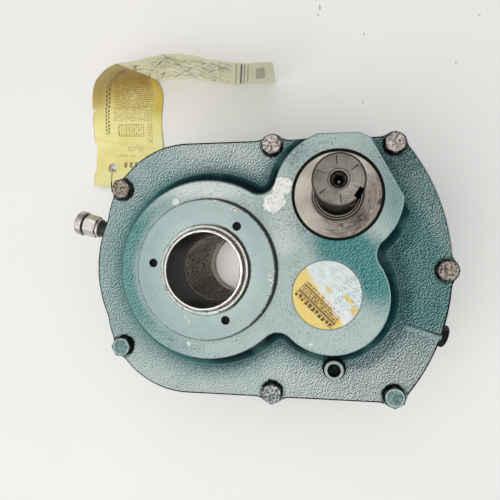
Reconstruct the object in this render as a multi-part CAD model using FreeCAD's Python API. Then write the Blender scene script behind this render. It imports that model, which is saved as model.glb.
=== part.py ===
import FreeCAD, Part
import math, os
from FreeCAD import Vector as V

# Shaft mount reducer, millimetres.
# Frame: origin on the output bore axis, at the parting plane of the casing.
# +Z runs along the output bore towards the input shaft end, +X towards the far end of the casing.

os.makedirs("parts", exist_ok=True)

# ---------------------------------------------------------------- driving dimensions
FLOOR_Z = -76.0            # rear end of the hub, the surface the reducer lies on
HUB_END = 76.0             # front end of the hub
BOSS_Z = 66.0              # raised boss face
FLANGE_Z = 48.0            # rim face
SEAT_Z = 46.8              # spot faces in the rim that the bolt heads sit on
ROOF_Z = 40.0              # inside of the end wall
GASKET_T = 0.5
WALL = 9.0

IN_X, IN_Y = 97.0, 54.5    # input shaft axis
C_OUT = 94.0               # centre distance, countershaft to output hub
C_IN = 74.0                # centre distance, input shaft to countershaft

# casing outline
LEFT_R = 96.0
CORNER_R, CORNER_X, CORNER_Y = 68.0, -20.0, 31.0
EDGE_Y = 99.0
RIGHT_CX, RIGHT_R = 27.4, 152.2
EAR_R = 9.2
EAR_BLEND = 11.0
BOLTS = [(-74.0, 63.3, 8.0), (-74.0, -63.3, 0.0), (47.6, 95.0, 15.0), (47.6, -95.0, 30.0),
         (138.6, 93.4, 30.0), (138.6, -93.4, 30.0), (175.4, 0.0, 0.0)]   # x, y, angle of a head corner
COLUMN_R = 10.5

# boss
HUB_LOBE_R, IN_LOBE_R, CT_LOBE_R = 67.5, 46.7, 42.5
LOBE_BLEND = 12.0
BOSS_FOOT_R = 10.0         # fillet at the foot of the boss
BOSS_EDGE_R = 2.0
RIM_EDGE_R = 1.5
FLAT_DIST, FLAT_ANG = 40.0, 28.6   # wrench-room flat on the input lobe: distance and direction from its axis

# bolts, 3/8 inch
BOLT_R, BOLT_AF, BOLT_HEAD_H = 4.7625, 14.29, 6.0
BOLT_HOLE_R = 5.0
NUT_H, WASHER_T, WASHER_R = 8.3, 2.4, 8.1

# output hub
BORE_R = 26.0              # straight middle of the bore
SEAT_R0, SEAT_R1, SEAT_L = 27.6, 26.5, 40.0   # tapered bushing seat: radius at the end, inner end, length
HUB_R = 35.0
GEAR_SEAT_R = 36.0
HUB_SHOULDER_R = 40.0
HUB_JOURNAL_R = 34.0
HUB_SEAL_R = 33.5
HUB_NOSE_R = 30.4
PLATE_Z0, PLATE_Z1, PLATE_R = 66.8, 70.0, 52.5
PLATE_PCD, PLATE_HOLE_R, PLATE_ANG = 80.4, 3.3, 53.0
SNAP_Z0, SNAP_Z1, SNAP_RI, SNAP_RO = 70.0, 71.8, 29.2, 33.4

# input shaft
SHAFT_R = 15.08125         # 1-3/16 inch
SHAFT_END = 148.0
JOURNAL_R = 15.875
KEY_W, KEY_D, KEY_L, KEY_ANG = 6.35, 3.2, 35.0, -34.5
CARRIER_R, CARRIER_LIP_R, MOUTH_R, MOUTH_Z = 31.5, 31.15, 32.7, 63.4   # carrier, its lip, and the recess round it
CARRIER_Z0, CARRIER_Z1 = 58.0, 64.9

# gears: normal module 2, helical
MN = 2.0
ALPHA_N = math.radians(20.0)
Z_IN_PINION, Z_CT_GEAR = 18, 54
Z_CT_PINION, Z_OUT_GEAR = 15, 75
ADDENDUM = 1.86
THIN = 0.15                # each tooth is this much thinner than half the pitch
CT_GEAR_Z = (8.0, 26.0)
IN_PINION_Z = (7.0, 27.0)
OUT_GEAR_Z = (-31.0, -3.0)
CT_PINION_Z = (-33.0, -1.0)

# bearing and shaft seats
OUT_CUP_R, OUT_SEAL_R = 52.0, 46.0
CT_CUP_R, CT_JOURNAL_R, CT_SHOULDER_R, CT_SEAT_R, CT_COLLAR_R = 26.0, 12.5, 14.5, 15.0, 19.0
IN_BODY_R, SHAFT_STEP_Z = 18.0, 66.0

# small casing features
SPOT_R = 9.6
DOWEL_R, DOWEL_L = 2.5, 18.0
LEVEL_X, LEVEL_Y, LEVEL_R, LEVEL_HOLE_R, LEVEL_SPOT_R, LEVEL_TOP = 94.6, -74.6, 7.2, 6.6, 8.9, 55.0
DRAIN_ANG, DRAIN_Z, DRAIN_PAD_R, DRAIN_PAD_OUT, DRAIN_HOLE_R, DRAIN_AF, DRAIN_H = -19.0, 26.0, 11.5, 2.0, 6.6, 15.0, 6.3
VENT_ANG, VENT_Z, VENT_Y, VENT_PAD_R, VENT_PAD_OUT, VENT_HOLE_R, VENT_AF, VENT_CAP_R = 164.5, 22.0, 3.7, 11.0, 1.5, 6.5, 16.5, 10.4
COVER_R, COVER_DOME_R, COVER_PCR, SCREW_R = 42.4, 28.0, 36.2, 3.175
SNAP_GAP_ANG = 205.0
LABEL_X, LABEL_Y, LABEL_R = 89.5, -17.5, 25.0
TAG_HOLE, TAG_HOLE_R = (-138.9, 101.2, -69.5), 4.9

# running clearance between rollers and cups
RUN = 0.045


# ---------------------------------------------------------------- helpers
def cyl(r, z0, z1, x=0.0, y=0.0):
    return Part.makeCylinder(r, z1 - z0, V(x, y, z0))


def ring(ro, ri, z0, z1, x=0.0, y=0.0):
    return cyl(ro, z0, z1, x, y).cut(cyl(ri, z0 - 1, z1 + 1, x, y))


def rev(pts, x=0.0, y=0.0):
    """Solid of revolution about a vertical axis at (x, y); pts are (radius, z)."""
    w = Part.makePolygon([V(x + r, y, z) for r, z in pts] + [V(x + pts[0][0], y, pts[0][1])])
    return Part.Face(w).revolve(V(x, y, 0), V(0, 0, 1), 360)


def cyl_dir(r, p, d, length):
    return Part.makeCylinder(r, length, p, d)


def hexagon(af, z0, z1, x=0.0, y=0.0, ang=0.0):
    rc = af / math.sqrt(3)
    pts = [V(x + rc * math.cos(math.radians(ang + 60 * i)), y + rc * math.sin(math.radians(ang + 60 * i)), z0) for i in range(6)]
    return Part.Face(Part.makePolygon(pts + [pts[0]])).extrude(V(0, 0, z1 - z0))


def rot(shape, deg, x=0.0, y=0.0):
    s = shape.copy()
    s.rotate(V(x, y, 0), V(0, 0, 1), deg)
    return s


def moved(shape, v):
    s = shape.copy()
    s.translate(v)
    return s


def flip(shape):
    """Mirror across the parting plane."""
    return shape.mirror(V(0, 0, 0), V(0, 0, 1))


def arc(c, r, a0, a1):
    am = 0.5 * (a0 + a1)
    p = [V(c[0] + r * math.cos(a), c[1] + r * math.sin(a), 0) for a in (a0, am, a1)]
    return Part.Arc(p[0], p[1], p[2]).toShape()


def seg(p, q):
    return Part.makeLine(V(p[0], p[1], 0), V(q[0], q[1], 0))


def meet(c1, r1, c2, r2, side):
    dx, dy = c2[0] - c1[0], c2[1] - c1[1]
    d = math.hypot(dx, dy)
    a = (r1 * r1 - r2 * r2 + d * d) / (2 * d)
    h = math.sqrt(max(r1 * r1 - a * a, 0.0))
    ux, uy = dx / d, dy / d
    return (c1[0] + a * ux - side * h * uy, c1[1] + a * uy + side * h * ux)


def save(name, shape):
    if isinstance(shape, (list, tuple)):
        shape = Part.makeCompound(list(shape))
    bad = [s for s in shape.Solids if not s.isValid() or s.Volume <= 0]
    print("%-26s solids %2d  volume %9.0f%s" % (name, len(shape.Solids), shape.Volume, "  INVALID" if bad or not shape.Solids else ""))
    shape.exportStep("parts/%s.step" % name)


# countershaft axis from the two centre distances
d_hi = math.hypot(IN_X, IN_Y)
a_ct = (C_OUT ** 2 - C_IN ** 2 + d_hi ** 2) / (2 * d_hi)
h_ct = math.sqrt(C_OUT ** 2 - a_ct ** 2)
CT_X = a_ct * IN_X / d_hi + h_ct * IN_Y / d_hi
CT_Y = a_ct * IN_Y / d_hi - h_ct * IN_X / d_hi
print("countershaft axis %.3f %.3f" % (CT_X, CT_Y))


# ---------------------------------------------------------------- casing
def outline(inset):
    """Rim outline face at z=0, without the bolt ears, pulled in by inset."""
    rl, rc, ey, rr = LEFT_R - inset, CORNER_R - inset, EDGE_Y - inset, RIGHT_R - inset
    ct, cb = (CORNER_X, CORNER_Y), (CORNER_X, -CORNER_Y)
    pt = min(meet((0, 0), rl, ct, rc, -1), meet((0, 0), rl, ct, rc, 1))
    pb = (pt[0], -pt[1])
    xr = RIGHT_CX + math.sqrt(rr * rr - ey * ey)
    ang = lambda p, c: math.atan2(p[1] - c[1], p[0] - c[0])
    a1 = ang(pt, (0, 0)) % (2 * math.pi)
    a2 = ang(pb, (0, 0)) % (2 * math.pi)
    ar = math.atan2(ey, xr - RIGHT_CX)
    edges = [arc((0, 0), rl, a1, a2),
             arc(cb, rc, ang(pb, cb) % (2 * math.pi), 1.5 * math.pi),
             seg((CORNER_X, -ey), (xr, -ey)),
             arc((RIGHT_CX, 0), rr, -ar, ar),
             seg((xr, ey), (CORNER_X, ey)),
             arc(ct, rc, 0.5 * math.pi, ang(pt, ct) % (2 * math.pi))]
    return Part.Face(Part.Wire(Part.__sortEdges__(edges)))


def upright_edges(shape, skip):
    out = []
    for e in shape.Edges:
        if len(e.Vertexes) != 2:
            continue
        p, q = e.Vertexes[0].Point, e.Vertexes[1].Point
        if abs(p.x - q.x) < 1e-6 and abs(p.y - q.y) < 1e-6 and abs(p.z - q.z) > 1:
            if not skip(p.x, p.y):
                out.append(e)
    return out


def rim_block(z0, z1):
    f = outline(0.0)
    f.translate(V(0, 0, z0))
    s = f.extrude(V(0, 0, z1 - z0))
    s = s.multiFuse([cyl(EAR_R, z0, z1, x, y) for x, y, a in BOLTS]).removeSplitter()
    es = upright_edges(s, lambda x, y: abs(x - CORNER_X) < 0.5 and abs(abs(y) - EDGE_Y) < 0.5)
    return s.makeFillet(EAR_BLEND, es)


def boss_block(z0, z1, flat):
    inl = cyl(IN_LOBE_R, z0, z1, IN_X, IN_Y)
    if flat:
        b = Part.makeBox(60, 200, z1 - z0 + 2, V(FLAT_DIST, -100, z0 - 1))
        b.rotate(V(0, 0, 0), V(0, 0, 1), FLAT_ANG)
        b.translate(V(IN_X, IN_Y, 0))
        inl = inl.cut(b)
    tri = Part.Face(Part.makePolygon([V(0, 0, z0), V(CT_X, CT_Y, z0), V(IN_X, IN_Y, z0), V(0, 0, z0)])).extrude(V(0, 0, z1 - z0))
    s = cyl(HUB_LOBE_R, z0, z1).multiFuse([inl, cyl(CT_LOBE_R, z0, z1, CT_X, CT_Y), tri])
    s = s.cut(Part.makeBox(400, 100, z1 - z0 + 2, V(-100, EDGE_Y, z0 - 1))).removeSplitter()
    fa = math.radians(FLAT_ANG)

    def skip(x, y):
        # only the three notches between the lobes are blended
        on_flat = flat and abs((x - IN_X) * math.cos(fa) + (y - IN_Y) * math.sin(fa) - FLAT_DIST) < 0.5
        on_seam = min(abs(math.hypot(x, y) - HUB_LOBE_R) + abs(math.hypot(x - IN_X, y - IN_Y) - IN_LOBE_R),
                      abs(math.hypot(x, y) - HUB_LOBE_R) + abs(math.hypot(x - CT_X, y - CT_Y) - CT_LOBE_R),
                      abs(math.hypot(x - CT_X, y - CT_Y) - CT_LOBE_R) + abs(math.hypot(x - IN_X, y - IN_Y) - IN_LOBE_R)) > 0.5
        return y > EDGE_Y - 1 or on_flat or on_seam
    return s.makeFillet(LOBE_BLEND, upright_edges(s, skip))


def mid(e):
    return e.valueAt(0.5 * (e.FirstParameter + e.LastParameter))


def flat_level(e, z):
    return all(abs(v.Z - z) < 1e-3 for v in e.Vertexes) and abs(mid(e).z - z) < 1e-3


def half_blank(flat):
    """Outside of one casing half (front), parting face at z = GASKET_T / 2."""
    rim = rim_block(GASKET_T / 2, FLANGE_Z)
    boss = boss_block(FLANGE_Z - 6, BOSS_Z, flat)
    body = rim.fuse(boss).removeSplitter()
    fa = math.radians(FLAT_ANG)

    def on_boss(m):
        return math.hypot(m.x, m.y) < 90 or (m.x > 30 and abs(m.y) < 97 and math.hypot(m.x - RIGHT_CX, m.y) < 149
                                             and all(math.hypot(m.x - b[0], m.y - b[1]) > 12 for b in BOLTS))

    def on_flat(m):
        return flat and abs((m.x - IN_X) * math.cos(fa) + (m.y - IN_Y) * math.sin(fa) - FLAT_DIST) < 0.5

    foot = [e for e in body.Edges if flat_level(e, FLANGE_Z) and on_boss(mid(e)) and not on_flat(mid(e))]
    body = body.makeFillet(BOSS_FOOT_R, foot)
    top = [e for e in body.Edges if flat_level(e, BOSS_Z)]
    body = body.makeFillet(BOSS_EDGE_R, top)
    rim_e = [e for e in body.Edges if flat_level(e, FLANGE_Z) and not on_boss(mid(e)) and e.Length > 4
             and not (mid(e).y > 90 and 60 < mid(e).x < 128)]
    body = body.makeFillet(RIM_EDGE_R, rim_e)
    return body


def cavity():
    f = outline(WALL)
    f.translate(V(0, 0, -1))
    s = f.extrude(V(0, 0, ROOF_Z + 1))
    return s.cut(Part.makeCompound([cyl(COLUMN_R, -2, ROOF_Z + 2, x, y) for x, y, a in BOLTS]))


def radial(cx, cy, ang):
    a = math.radians(ang)
    return V(cx, cy, 0), V(math.cos(a), math.sin(a), 0)


DOWELS = [(0.0, EDGE_Y - WALL / 2), (100.0, -EDGE_Y + WALL / 2)]
cav = cavity()
bolt_holes = [cyl(BOLT_HOLE_R, -1, FLANGE_Z + 1, x, y) for x, y, a in BOLTS]
spots = [cyl(SPOT_R, SEAT_Z, BOSS_Z + 5, x, y) for x, y, a in BOLTS]
dowel_holes = [cyl(DOWEL_R, -1, DOWEL_L / 2 + 0.2, x, y) for x, y in DOWELS]
out_bore = [cyl(OUT_CUP_R, ROOF_Z - 1, 60.0), cyl(OUT_SEAL_R, 59, BOSS_Z + 1)]
ct_bore = [cyl(CT_CUP_R, ROOF_Z - 1, 58.0, CT_X, CT_Y)]
in_bore = [cyl(CARRIER_R, ROOF_Z - 1, BOSS_Z + 1, IN_X, IN_Y)]

# ----- front half
front = half_blank(True)
pc, pd = radial(RIGHT_CX, 0, DRAIN_ANG)
bc, bd = radial(0, VENT_Y, VENT_ANG)
drain_base = pc + V(0, 0, DRAIN_Z)
vent_base = bc + V(0, 0, VENT_Z)
front = front.fuse(cyl_dir(DRAIN_PAD_R, drain_base + pd * (RIGHT_R - WALL - 2), pd, WALL + 2 + DRAIN_PAD_OUT))
front = front.fuse(cyl_dir(VENT_PAD_R, vent_base + bd * (LEFT_R - WALL - 2), bd, WALL + 2 + VENT_PAD_OUT))
# low cast ridge on the rim face that runs out to the drain boss
ra, rb = V(146.0, -40.6, FLANGE_Z - 1.9), V(171.5, -48.9, FLANGE_Z - 1.9)
rdir = rb - ra
ridge = cyl_dir(2.6, ra, rdir, rdir.Length)
front = front.fuse(ridge)
front = front.cut(Part.makeCompound([cav]))
front = front.cut(Part.makeCompound(bolt_holes))
front = front.cut(Part.makeCompound(spots))
front = front.cut(Part.makeCompound(dowel_holes))
for b in out_bore + ct_bore + in_bore:
    front = front.cut(b)
front = front.cut(cyl(MOUTH_R, MOUTH_Z, BOSS_Z + 1, IN_X, IN_Y))
front = front.cut(cyl(LEVEL_SPOT_R, SEAT_Z, BOSS_Z + 5, LEVEL_X, LEVEL_Y))
front = front.cut(cyl(LEVEL_HOLE_R, ROOF_Z - 2, FLANGE_Z + 1, LEVEL_X, LEVEL_Y))
front = front.cut(cyl_dir(DRAIN_HOLE_R, drain_base + pd * (RIGHT_R - WALL - 6), pd, 40))
front = front.cut(cyl_dir(VENT_HOLE_R, vent_base + bd * (LEFT_R - WALL - 6), bd, 40))
save("front_housing", front)

# ----- rear half: same shell turned over, open at the input bore for the end cover
rear = half_blank(False)
rear = rear.cut(Part.makeCompound([cav]))
rear = rear.cut(Part.makeCompound(bolt_holes))
rear = rear.cut(Part.makeCompound(spots))
rear = rear.cut(Part.makeCompound(dowel_holes))
for b in out_bore + ct_bore + in_bore:
    rear = rear.cut(b)
cover_xy = [(IN_X + COVER_PCR * math.cos(math.radians(30 + 60 * i)), IN_Y + COVER_PCR * math.sin(math.radians(30 + 60 * i))) for i in range(6)]
rear = rear.cut(Part.makeCompound([cyl(SCREW_R, BOSS_Z - 14, BOSS_Z + 1, x, y) for x, y in cover_xy]))
rear = flip(rear)
save("rear_housing", rear)

# ----- gasket between the halves
g = rim_block(-12.0, 12.0).common(Part.makeBox(600, 600, GASKET_T, V(-300, -300, -GASKET_T / 2)))
gi = outline(WALL)
gi.translate(V(0, 0, -1))
gcav = gi.extrude(V(0, 0, 2)).cut(Part.makeCompound([cyl(COLUMN_R, -2, 2, x, y) for x, y, a in BOLTS]))
g = g.cut(gcav).cut(Part.makeCompound([cyl(BOLT_HOLE_R, -2, 2, x, y) for x, y, a in BOLTS]))
g = g.cut(Part.makeCompound([cyl(DOWEL_R, -2, 2, x, y) for x, y in DOWELS]))
save("housing_gasket", g)

save("dowel_pins", [cyl(DOWEL_R - 0.01, -DOWEL_L / 2, DOWEL_L / 2, x, y) for x, y in DOWELS])


# ---------------------------------------------------------------- fasteners
def hex_head(af, z0, h):
    """Hex head with a washer face below and a chamfered, slightly crowned top; z0 is the underside."""
    s = hexagon(af, z0 + 0.4, z0 + h)
    rc = af / math.sqrt(3)
    cone = rev([(0, z0), (rc + 2, z0), (rc + 2, z0 + h - 0.5 * (rc - 0.47 * af) - 1.15), (0.475 * af, z0 + h), (0, z0 + h)])
    s = s.common(cone)
    return s.fuse(cyl(0.475 * af, z0, z0 + 0.5))


def grade_marks(z, r0, r1, n, a0):
    out = []
    for i in range(n):
        b = Part.makeBox(r1 - r0, 0.8, 0.5, V(r0, -0.4, z - 0.2))
        b.rotate(V(0, 0, 0), V(0, 0, 1), a0 + 360.0 / n * i)
        out.append(b)
    return out


def bolt(zhead, zend, r, af, hh, marks, ang):
    s = hex_head(af, zhead, hh).fuse(rev([(0, zend), (r - 0.8, zend), (r, zend + 0.9), (r, zhead + 0.2), (0, zhead + 0.2)]))
    if marks:
        s = s.multiFuse(grade_marks(zhead + hh, 2.6, 5.6, 3, ang))
    return s.removeSplitter()


one = bolt(SEAT_Z, -SEAT_Z - WASHER_T - NUT_H - 2.5, BOLT_R, BOLT_AF, BOLT_HEAD_H, True, 5.0)
save("housing_bolts", [moved(rot(one, a), V(x, y, 0)) for x, y, a in BOLTS])

nut_z1 = -SEAT_Z - WASHER_T
nut = hexagon(BOLT_AF, nut_z1 - NUT_H, nut_z1)
rcn = BOLT_AF / math.sqrt(3)
nut = nut.common(rev([(0, nut_z1 - NUT_H), (6.8, nut_z1 - NUT_H), (rcn + 0.2, nut_z1 - NUT_H + 0.85), (rcn + 0.2, nut_z1 - 0.85), (6.8, nut_z1), (0, nut_z1)]))
nut = nut.cut(cyl(BOLT_R + 0.01, nut_z1 - NUT_H - 1, nut_z1 + 1))
save("housing_nuts", [moved(rot(nut, 17.0 * i), V(x, y, 0)) for i, (x, y, a) in enumerate(BOLTS)])

lw = ring(WASHER_R, BOLT_R + 0.25, -SEAT_Z - WASHER_T, -SEAT_Z)
slit = Part.makeBox(8, 0.9, 8, V(3, -0.45, -SEAT_Z - 5))
slit.rotate(V(0, 0, -SEAT_Z), V(1, 0, 0), 18)
lw = lw.cut(slit)
save("lock_washers", [moved(rot(lw, 40.0 * i), V(x, y, 0)) for i, (x, y, a) in enumerate(BOLTS)])


# ---------------------------------------------------------------- bearings
def bearing(name, x, y, z_in, sgn, r_bore, r_od, w, r_mean, phi_deg, r_roll, n):
    """Tapered roller bearing: cup in the casing, cone and rollers on the shaft.
    Depth t runs outwards from the cone's back face at z_in."""
    phi = math.radians(phi_deg)
    tm = 0.5 * w + 0.3
    t_apex = tm + r_mean / math.tan(phi)
    slant = r_mean / math.sin(phi)
    psi = math.asin(r_roll / slant)
    rc = lambda t: (t_apex - t) * math.tan(phi - psi)
    rk = lambda t: (t_apex - t) * math.tan(phi + psi) + RUN
    Z = lambda t: z_in + sgn * t
    t0, t1 = 3.0, w - 3.2              # rollers lie between these depths
    cone = [(r_bore, 0), (rc(t0) + 1.1 * r_roll, 0), (rc(t0) + 1.1 * r_roll, t0 - 0.35), (rc(t0), t0 - 0.35),
            (rc(t1 + 0.5), t1 + 0.5), (rc(t1 + 0.5) + 0.45 * r_roll, t1 + 0.5), (rc(t1 + 0.5) + 0.35 * r_roll, w - 1.6), (r_bore, w - 1.6)]
    cup = [(r_od, 2.0), (rk(2.0), 2.0), (rk(w), w), (r_od, w)]
    save(name + "_cone", rev([(r, Z(t)) for r, t in cone], x, y))
    save(name + "_cup", rev([(r, Z(t)) for r, t in cup], x, y))
    rollers = []
    s0 = (t_apex - t0) / math.cos(phi) - r_roll * math.tan(phi) * 1.05
    s1 = (t_apex - t1) / math.cos(phi) + r_roll * math.tan(phi) * 1.05
    for i in range(n):
        a = 2 * math.pi * (i + 0.5) / n
        u = V(math.cos(a), math.sin(a), 0)
        d = u * math.sin(phi) + V(0, 0, -sgn * math.cos(phi))       # from the apex towards the large end
        apex = V(x, y, Z(t_apex))
        rollers.append(Part.makeCone(s1 * math.tan(psi) * 0.997 - 0.01, s0 * math.tan(psi) * 0.997 - 0.01, s0 - s1, apex + d * s1, d))
    save(name + "_rollers", rollers)
    # cage: thin cone over the rollers with a pocket for each
    rg = lambda t: (t_apex - t) * math.tan(phi) + 0.42 * r_roll
    cage = rev([(rg(1.5) - 0.5, Z(1.5)), (rg(1.5) + 0.5, Z(1.5)), (rg(w - 1.8) + 0.5, Z(w - 1.8)), (rg(w - 1.8) - 0.5, Z(w - 1.8))], x, y)
    pockets = []
    for i in range(n):
        a = 2 * math.pi * (i + 0.5) / n
        u = V(math.cos(a), math.sin(a), 0)
        side = V(-math.sin(a), math.cos(a), 0)
        d = u * math.sin(phi) + V(0, 0, -sgn * math.cos(phi))
        hw = s0 * math.tan(psi) + 0.12
        pk = Part.makeBox(s0 - s1 + 0.3, 2 * hw, 2 * r_roll, V(s1 - 0.15, -hw, -r_roll))
        pk.Placement = FreeCAD.Placement(V(x, y, Z(t_apex)), FreeCAD.Rotation(d, side, d.cross(side), "XYZ"))
        pockets.append(pk)
    for pk in pockets:
        cage = cage.cut(pk)
    save(name + "_cage", cage)


OUT_B = dict(r_bore=HUB_JOURNAL_R, r_od=OUT_CUP_R, w=18.0, r_mean=43.0, phi_deg=12.0, r_roll=4.3, n=24)
CT_B = dict(r_bore=CT_JOURNAL_R, r_od=CT_CUP_R, w=16.0, r_mean=19.0, phi_deg=14.0, r_roll=3.0, n=15)
IN_B = dict(r_bore=JOURNAL_R, r_od=CARRIER_R, w=16.0, r_mean=23.4, phi_deg=13.0, r_roll=3.4, n=16)
BRG_Z = 42.0
bearing("output_bearing_front", 0, 0, BRG_Z, 1, **OUT_B)
bearing("output_bearing_rear", 0, 0, -BRG_Z, -1, **OUT_B)
bearing("countershaft_bearing_front", CT_X, CT_Y, BRG_Z, 1, **CT_B)
bearing("countershaft_bearing_rear", CT_X, CT_Y, -BRG_Z, -1, **CT_B)
bearing("input_bearing_front", IN_X, IN_Y, BRG_Z, 1, **IN_B)
bearing("input_bearing_rear", IN_X, IN_Y, -BRG_Z, -1, **IN_B)


# ---------------------------------------------------------------- gears
def tooth_ring(z, mt, z0, z1, hand, phase, spans, x, y):
    """Toothed blank, full disc, between z0 and z1. phase is the direction of one tooth at mid face."""
    rp = 0.5 * z * mt
    beta = math.acos(MN / mt)
    at = math.atan(math.tan(ALPHA_N) / math.cos(beta))
    rb, ra, rf = rp * math.cos(at), rp + ADDENDUM, rp - 1.25 * MN
    inv = lambda a: math.tan(a) - a
    half = math.pi / (2 * z) - THIN / (2 * rp)

    def half_at(r):
        if r <= rb:
            return half + inv(at)
        return half + inv(at) - inv(math.acos(rb / r))
    r_start = max(rb, rf + 0.25)
    rads = [rf] + [r_start + (ra - r_start) * k / 3.0 for k in range(4)]
    halves = [half_at(r_start) + (0.12 / rf)] + [half_at(r) for r in rads[1:]]
    mid_z = 0.5 * (z0 + z1)
    wires = []
    for k in range(spans + 1):
        zz = z0 + (z1 - z0) * k / spans
        tw = hand * (zz - mid_z) * math.tan(beta) / rp
        pts = []
        for i in range(z):
            c = phase + tw + 2 * math.pi * i / z
            for r, h in zip(rads, halves):
                pts.append(V(x + r * math.cos(c - h), y + r * math.sin(c - h), zz))
            for r, h in list(zip(rads, halves))[::-1]:
                pts.append(V(x + r * math.cos(c + h), y + r * math.sin(c + h), zz))
        wires.append(Part.makePolygon(pts + [pts[0]]))
    s = Part.makeLoft(wires, True, True)
    return s


MT2 = 2 * C_OUT / (Z_CT_PINION + Z_OUT_GEAR)
MT1 = 2 * C_IN / (Z_IN_PINION + Z_CT_GEAR)
dir_ct_from_out = math.atan2(CT_Y, CT_X)
dir_in_from_ct = math.atan2(IN_Y - CT_Y, IN_X - CT_X)

og_z = 0.5 * sum(OUT_GEAR_Z)
out_rim = tooth_ring(Z_OUT_GEAR, MT2, OUT_GEAR_Z[0], OUT_GEAR_Z[1], 1, dir_ct_from_out, 3, 0, 0)
# key on the hub at 90 degrees
OUT_KEY = dict(w=10.0, z0=-30.0, z1=-4.0, r0=GEAR_SEAT_R - 4.0, r1=GEAR_SEAT_R + 3.6)


def key_box(k, x, y, grow=0.0):
    return Part.makeBox(k["w"] + 2 * grow, k["r1"] - k["r0"] + grow, k["z1"] - k["z0"], V(x - k["w"] / 2 - grow, y + k["r0"], k["z0"]))


gear = out_rim.fuse(ring(46.0, GEAR_SEAT_R, -BRG_Z, OUT_GEAR_Z[0] + 1))
gear = gear.cut(cyl(GEAR_SEAT_R, -60, 10))
gear = gear.cut(ring(68.0, 48.0, OUT_GEAR_Z[1] - 5.0, OUT_GEAR_Z[1] + 1)).cut(ring(68.0, 48.0, OUT_GEAR_Z[0] - 1, OUT_GEAR_Z[0] + 5.0))
gk = dict(OUT_KEY)
gk["z0"], gk["z1"], gk["r0"], gk["r1"] = -BRG_Z - 1, OUT_GEAR_Z[1] + 1, GEAR_SEAT_R - 6, OUT_KEY["r1"] + 0.2
gear = gear.cut(key_box(gk, 0, 0))
save("output_gear", gear)
save("output_gear_key", key_box(OUT_KEY, 0, 0))

# countershaft gear on the countershaft
ct_rim = tooth_ring(Z_CT_GEAR, MT1, CT_GEAR_Z[0], CT_GEAR_Z[1], -1, dir_in_from_ct, 3, CT_X, CT_Y)
CT_KEY = dict(w=8.0, z0=9.0, z1=25.0, r0=CT_SEAT_R - 3.5, r1=CT_SEAT_R + 3.0)
cg = ct_rim.cut(cyl(CT_SEAT_R, 0, 40, CT_X, CT_Y))
cg = cg.cut(ring(49.0, 27.0, CT_GEAR_Z[1] - 4.0, CT_GEAR_Z[1] + 1, CT_X, CT_Y)).cut(ring(49.0, 27.0, CT_GEAR_Z[0] - 1, CT_GEAR_Z[0] + 4.0, CT_X, CT_Y))
ck = dict(CT_KEY)
ck["z0"], ck["z1"], ck["r0"], ck["r1"] = 0.0, 40.0, CT_SEAT_R - 6, CT_KEY["r1"] + 0.2
cg = cg.cut(key_box(ck, CT_X, CT_Y))
save("countershaft_gear", cg)
save("countershaft_key", key_box(CT_KEY, CT_X, CT_Y))

# ---------------------------------------------------------------- shafts
# output hub
T = HUB_END
hub_half = [(BORE_R, 0), (BORE_R, T - SEAT_L - 0.6), (SEAT_R1, T - SEAT_L), (SEAT_R0, T - 0.6), (SEAT_R0 + 0.6, T),
            (HUB_NOSE_R - 0.5, T), (HUB_NOSE_R, T - 0.5), (HUB_NOSE_R, SNAP_Z1), (SNAP_RI, SNAP_Z1), (SNAP_RI, SNAP_Z0), (HUB_NOSE_R, SNAP_Z0),
            (HUB_NOSE_R, PLATE_Z0), (HUB_SEAL_R, PLATE_Z0), (HUB_SEAL_R, 60.5), (HUB_JOURNAL_R, 60.0), (HUB_JOURNAL_R, BRG_Z)]
prof = [(r, z) for r, z in hub_half] + [(HUB_R + 2.5, BRG_Z), (HUB_R + 2.5, BRG_Z - 4), (HUB_R, BRG_Z - 5), (HUB_R, 4.0), (HUB_SHOULDER_R, 4.0), (HUB_SHOULDER_R, OUT_GEAR_Z[1]),
        (GEAR_SEAT_R, OUT_GEAR_Z[1]), (GEAR_SEAT_R, -BRG_Z)] + [(r, -z) for r, z in hub_half[::-1][:-1]]
hub = rev(prof)
hub = hub.cut(key_box(OUT_KEY, 0, 0))
save("output_hub", hub)

plate = rev([(HUB_NOSE_R + 0.02, PLATE_Z0), (PLATE_R, PLATE_Z0), (PLATE_R, PLATE_Z1 - 0.7), (PLATE_R - 0.7, PLATE_Z1), (HUB_NOSE_R + 0.9, PLATE_Z1), (HUB_NOSE_R + 0.02, PLATE_Z1 - 0.6)])
plate = plate.cut(Part.makeCompound([cyl(PLATE_HOLE_R, 60, 80, PLATE_PCD / 2 * math.cos(math.radians(PLATE_ANG + 120 * i)), PLATE_PCD / 2 * math.sin(math.radians(PLATE_ANG + 120 * i))) for i in range(3)]))
save("backing_plate_front", plate)
save("backing_plate_rear", flip(plate))

snap = rev([(SNAP_RI, SNAP_Z0), (SNAP_RO, SNAP_Z0), (SNAP_RO, SNAP_Z1 - 0.4), (SNAP_RO - 0.4, SNAP_Z1), (SNAP_RI, SNAP_Z1)])
gap = Part.makeBox(10, 5.0, 4, V(SNAP_RI - 2, -2.5, SNAP_Z0 - 1))
snap = snap.cut(rot(gap, SNAP_GAP_ANG))
save("retaining_ring_front", snap)
save("retaining_ring_rear", flip(snap))

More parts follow.
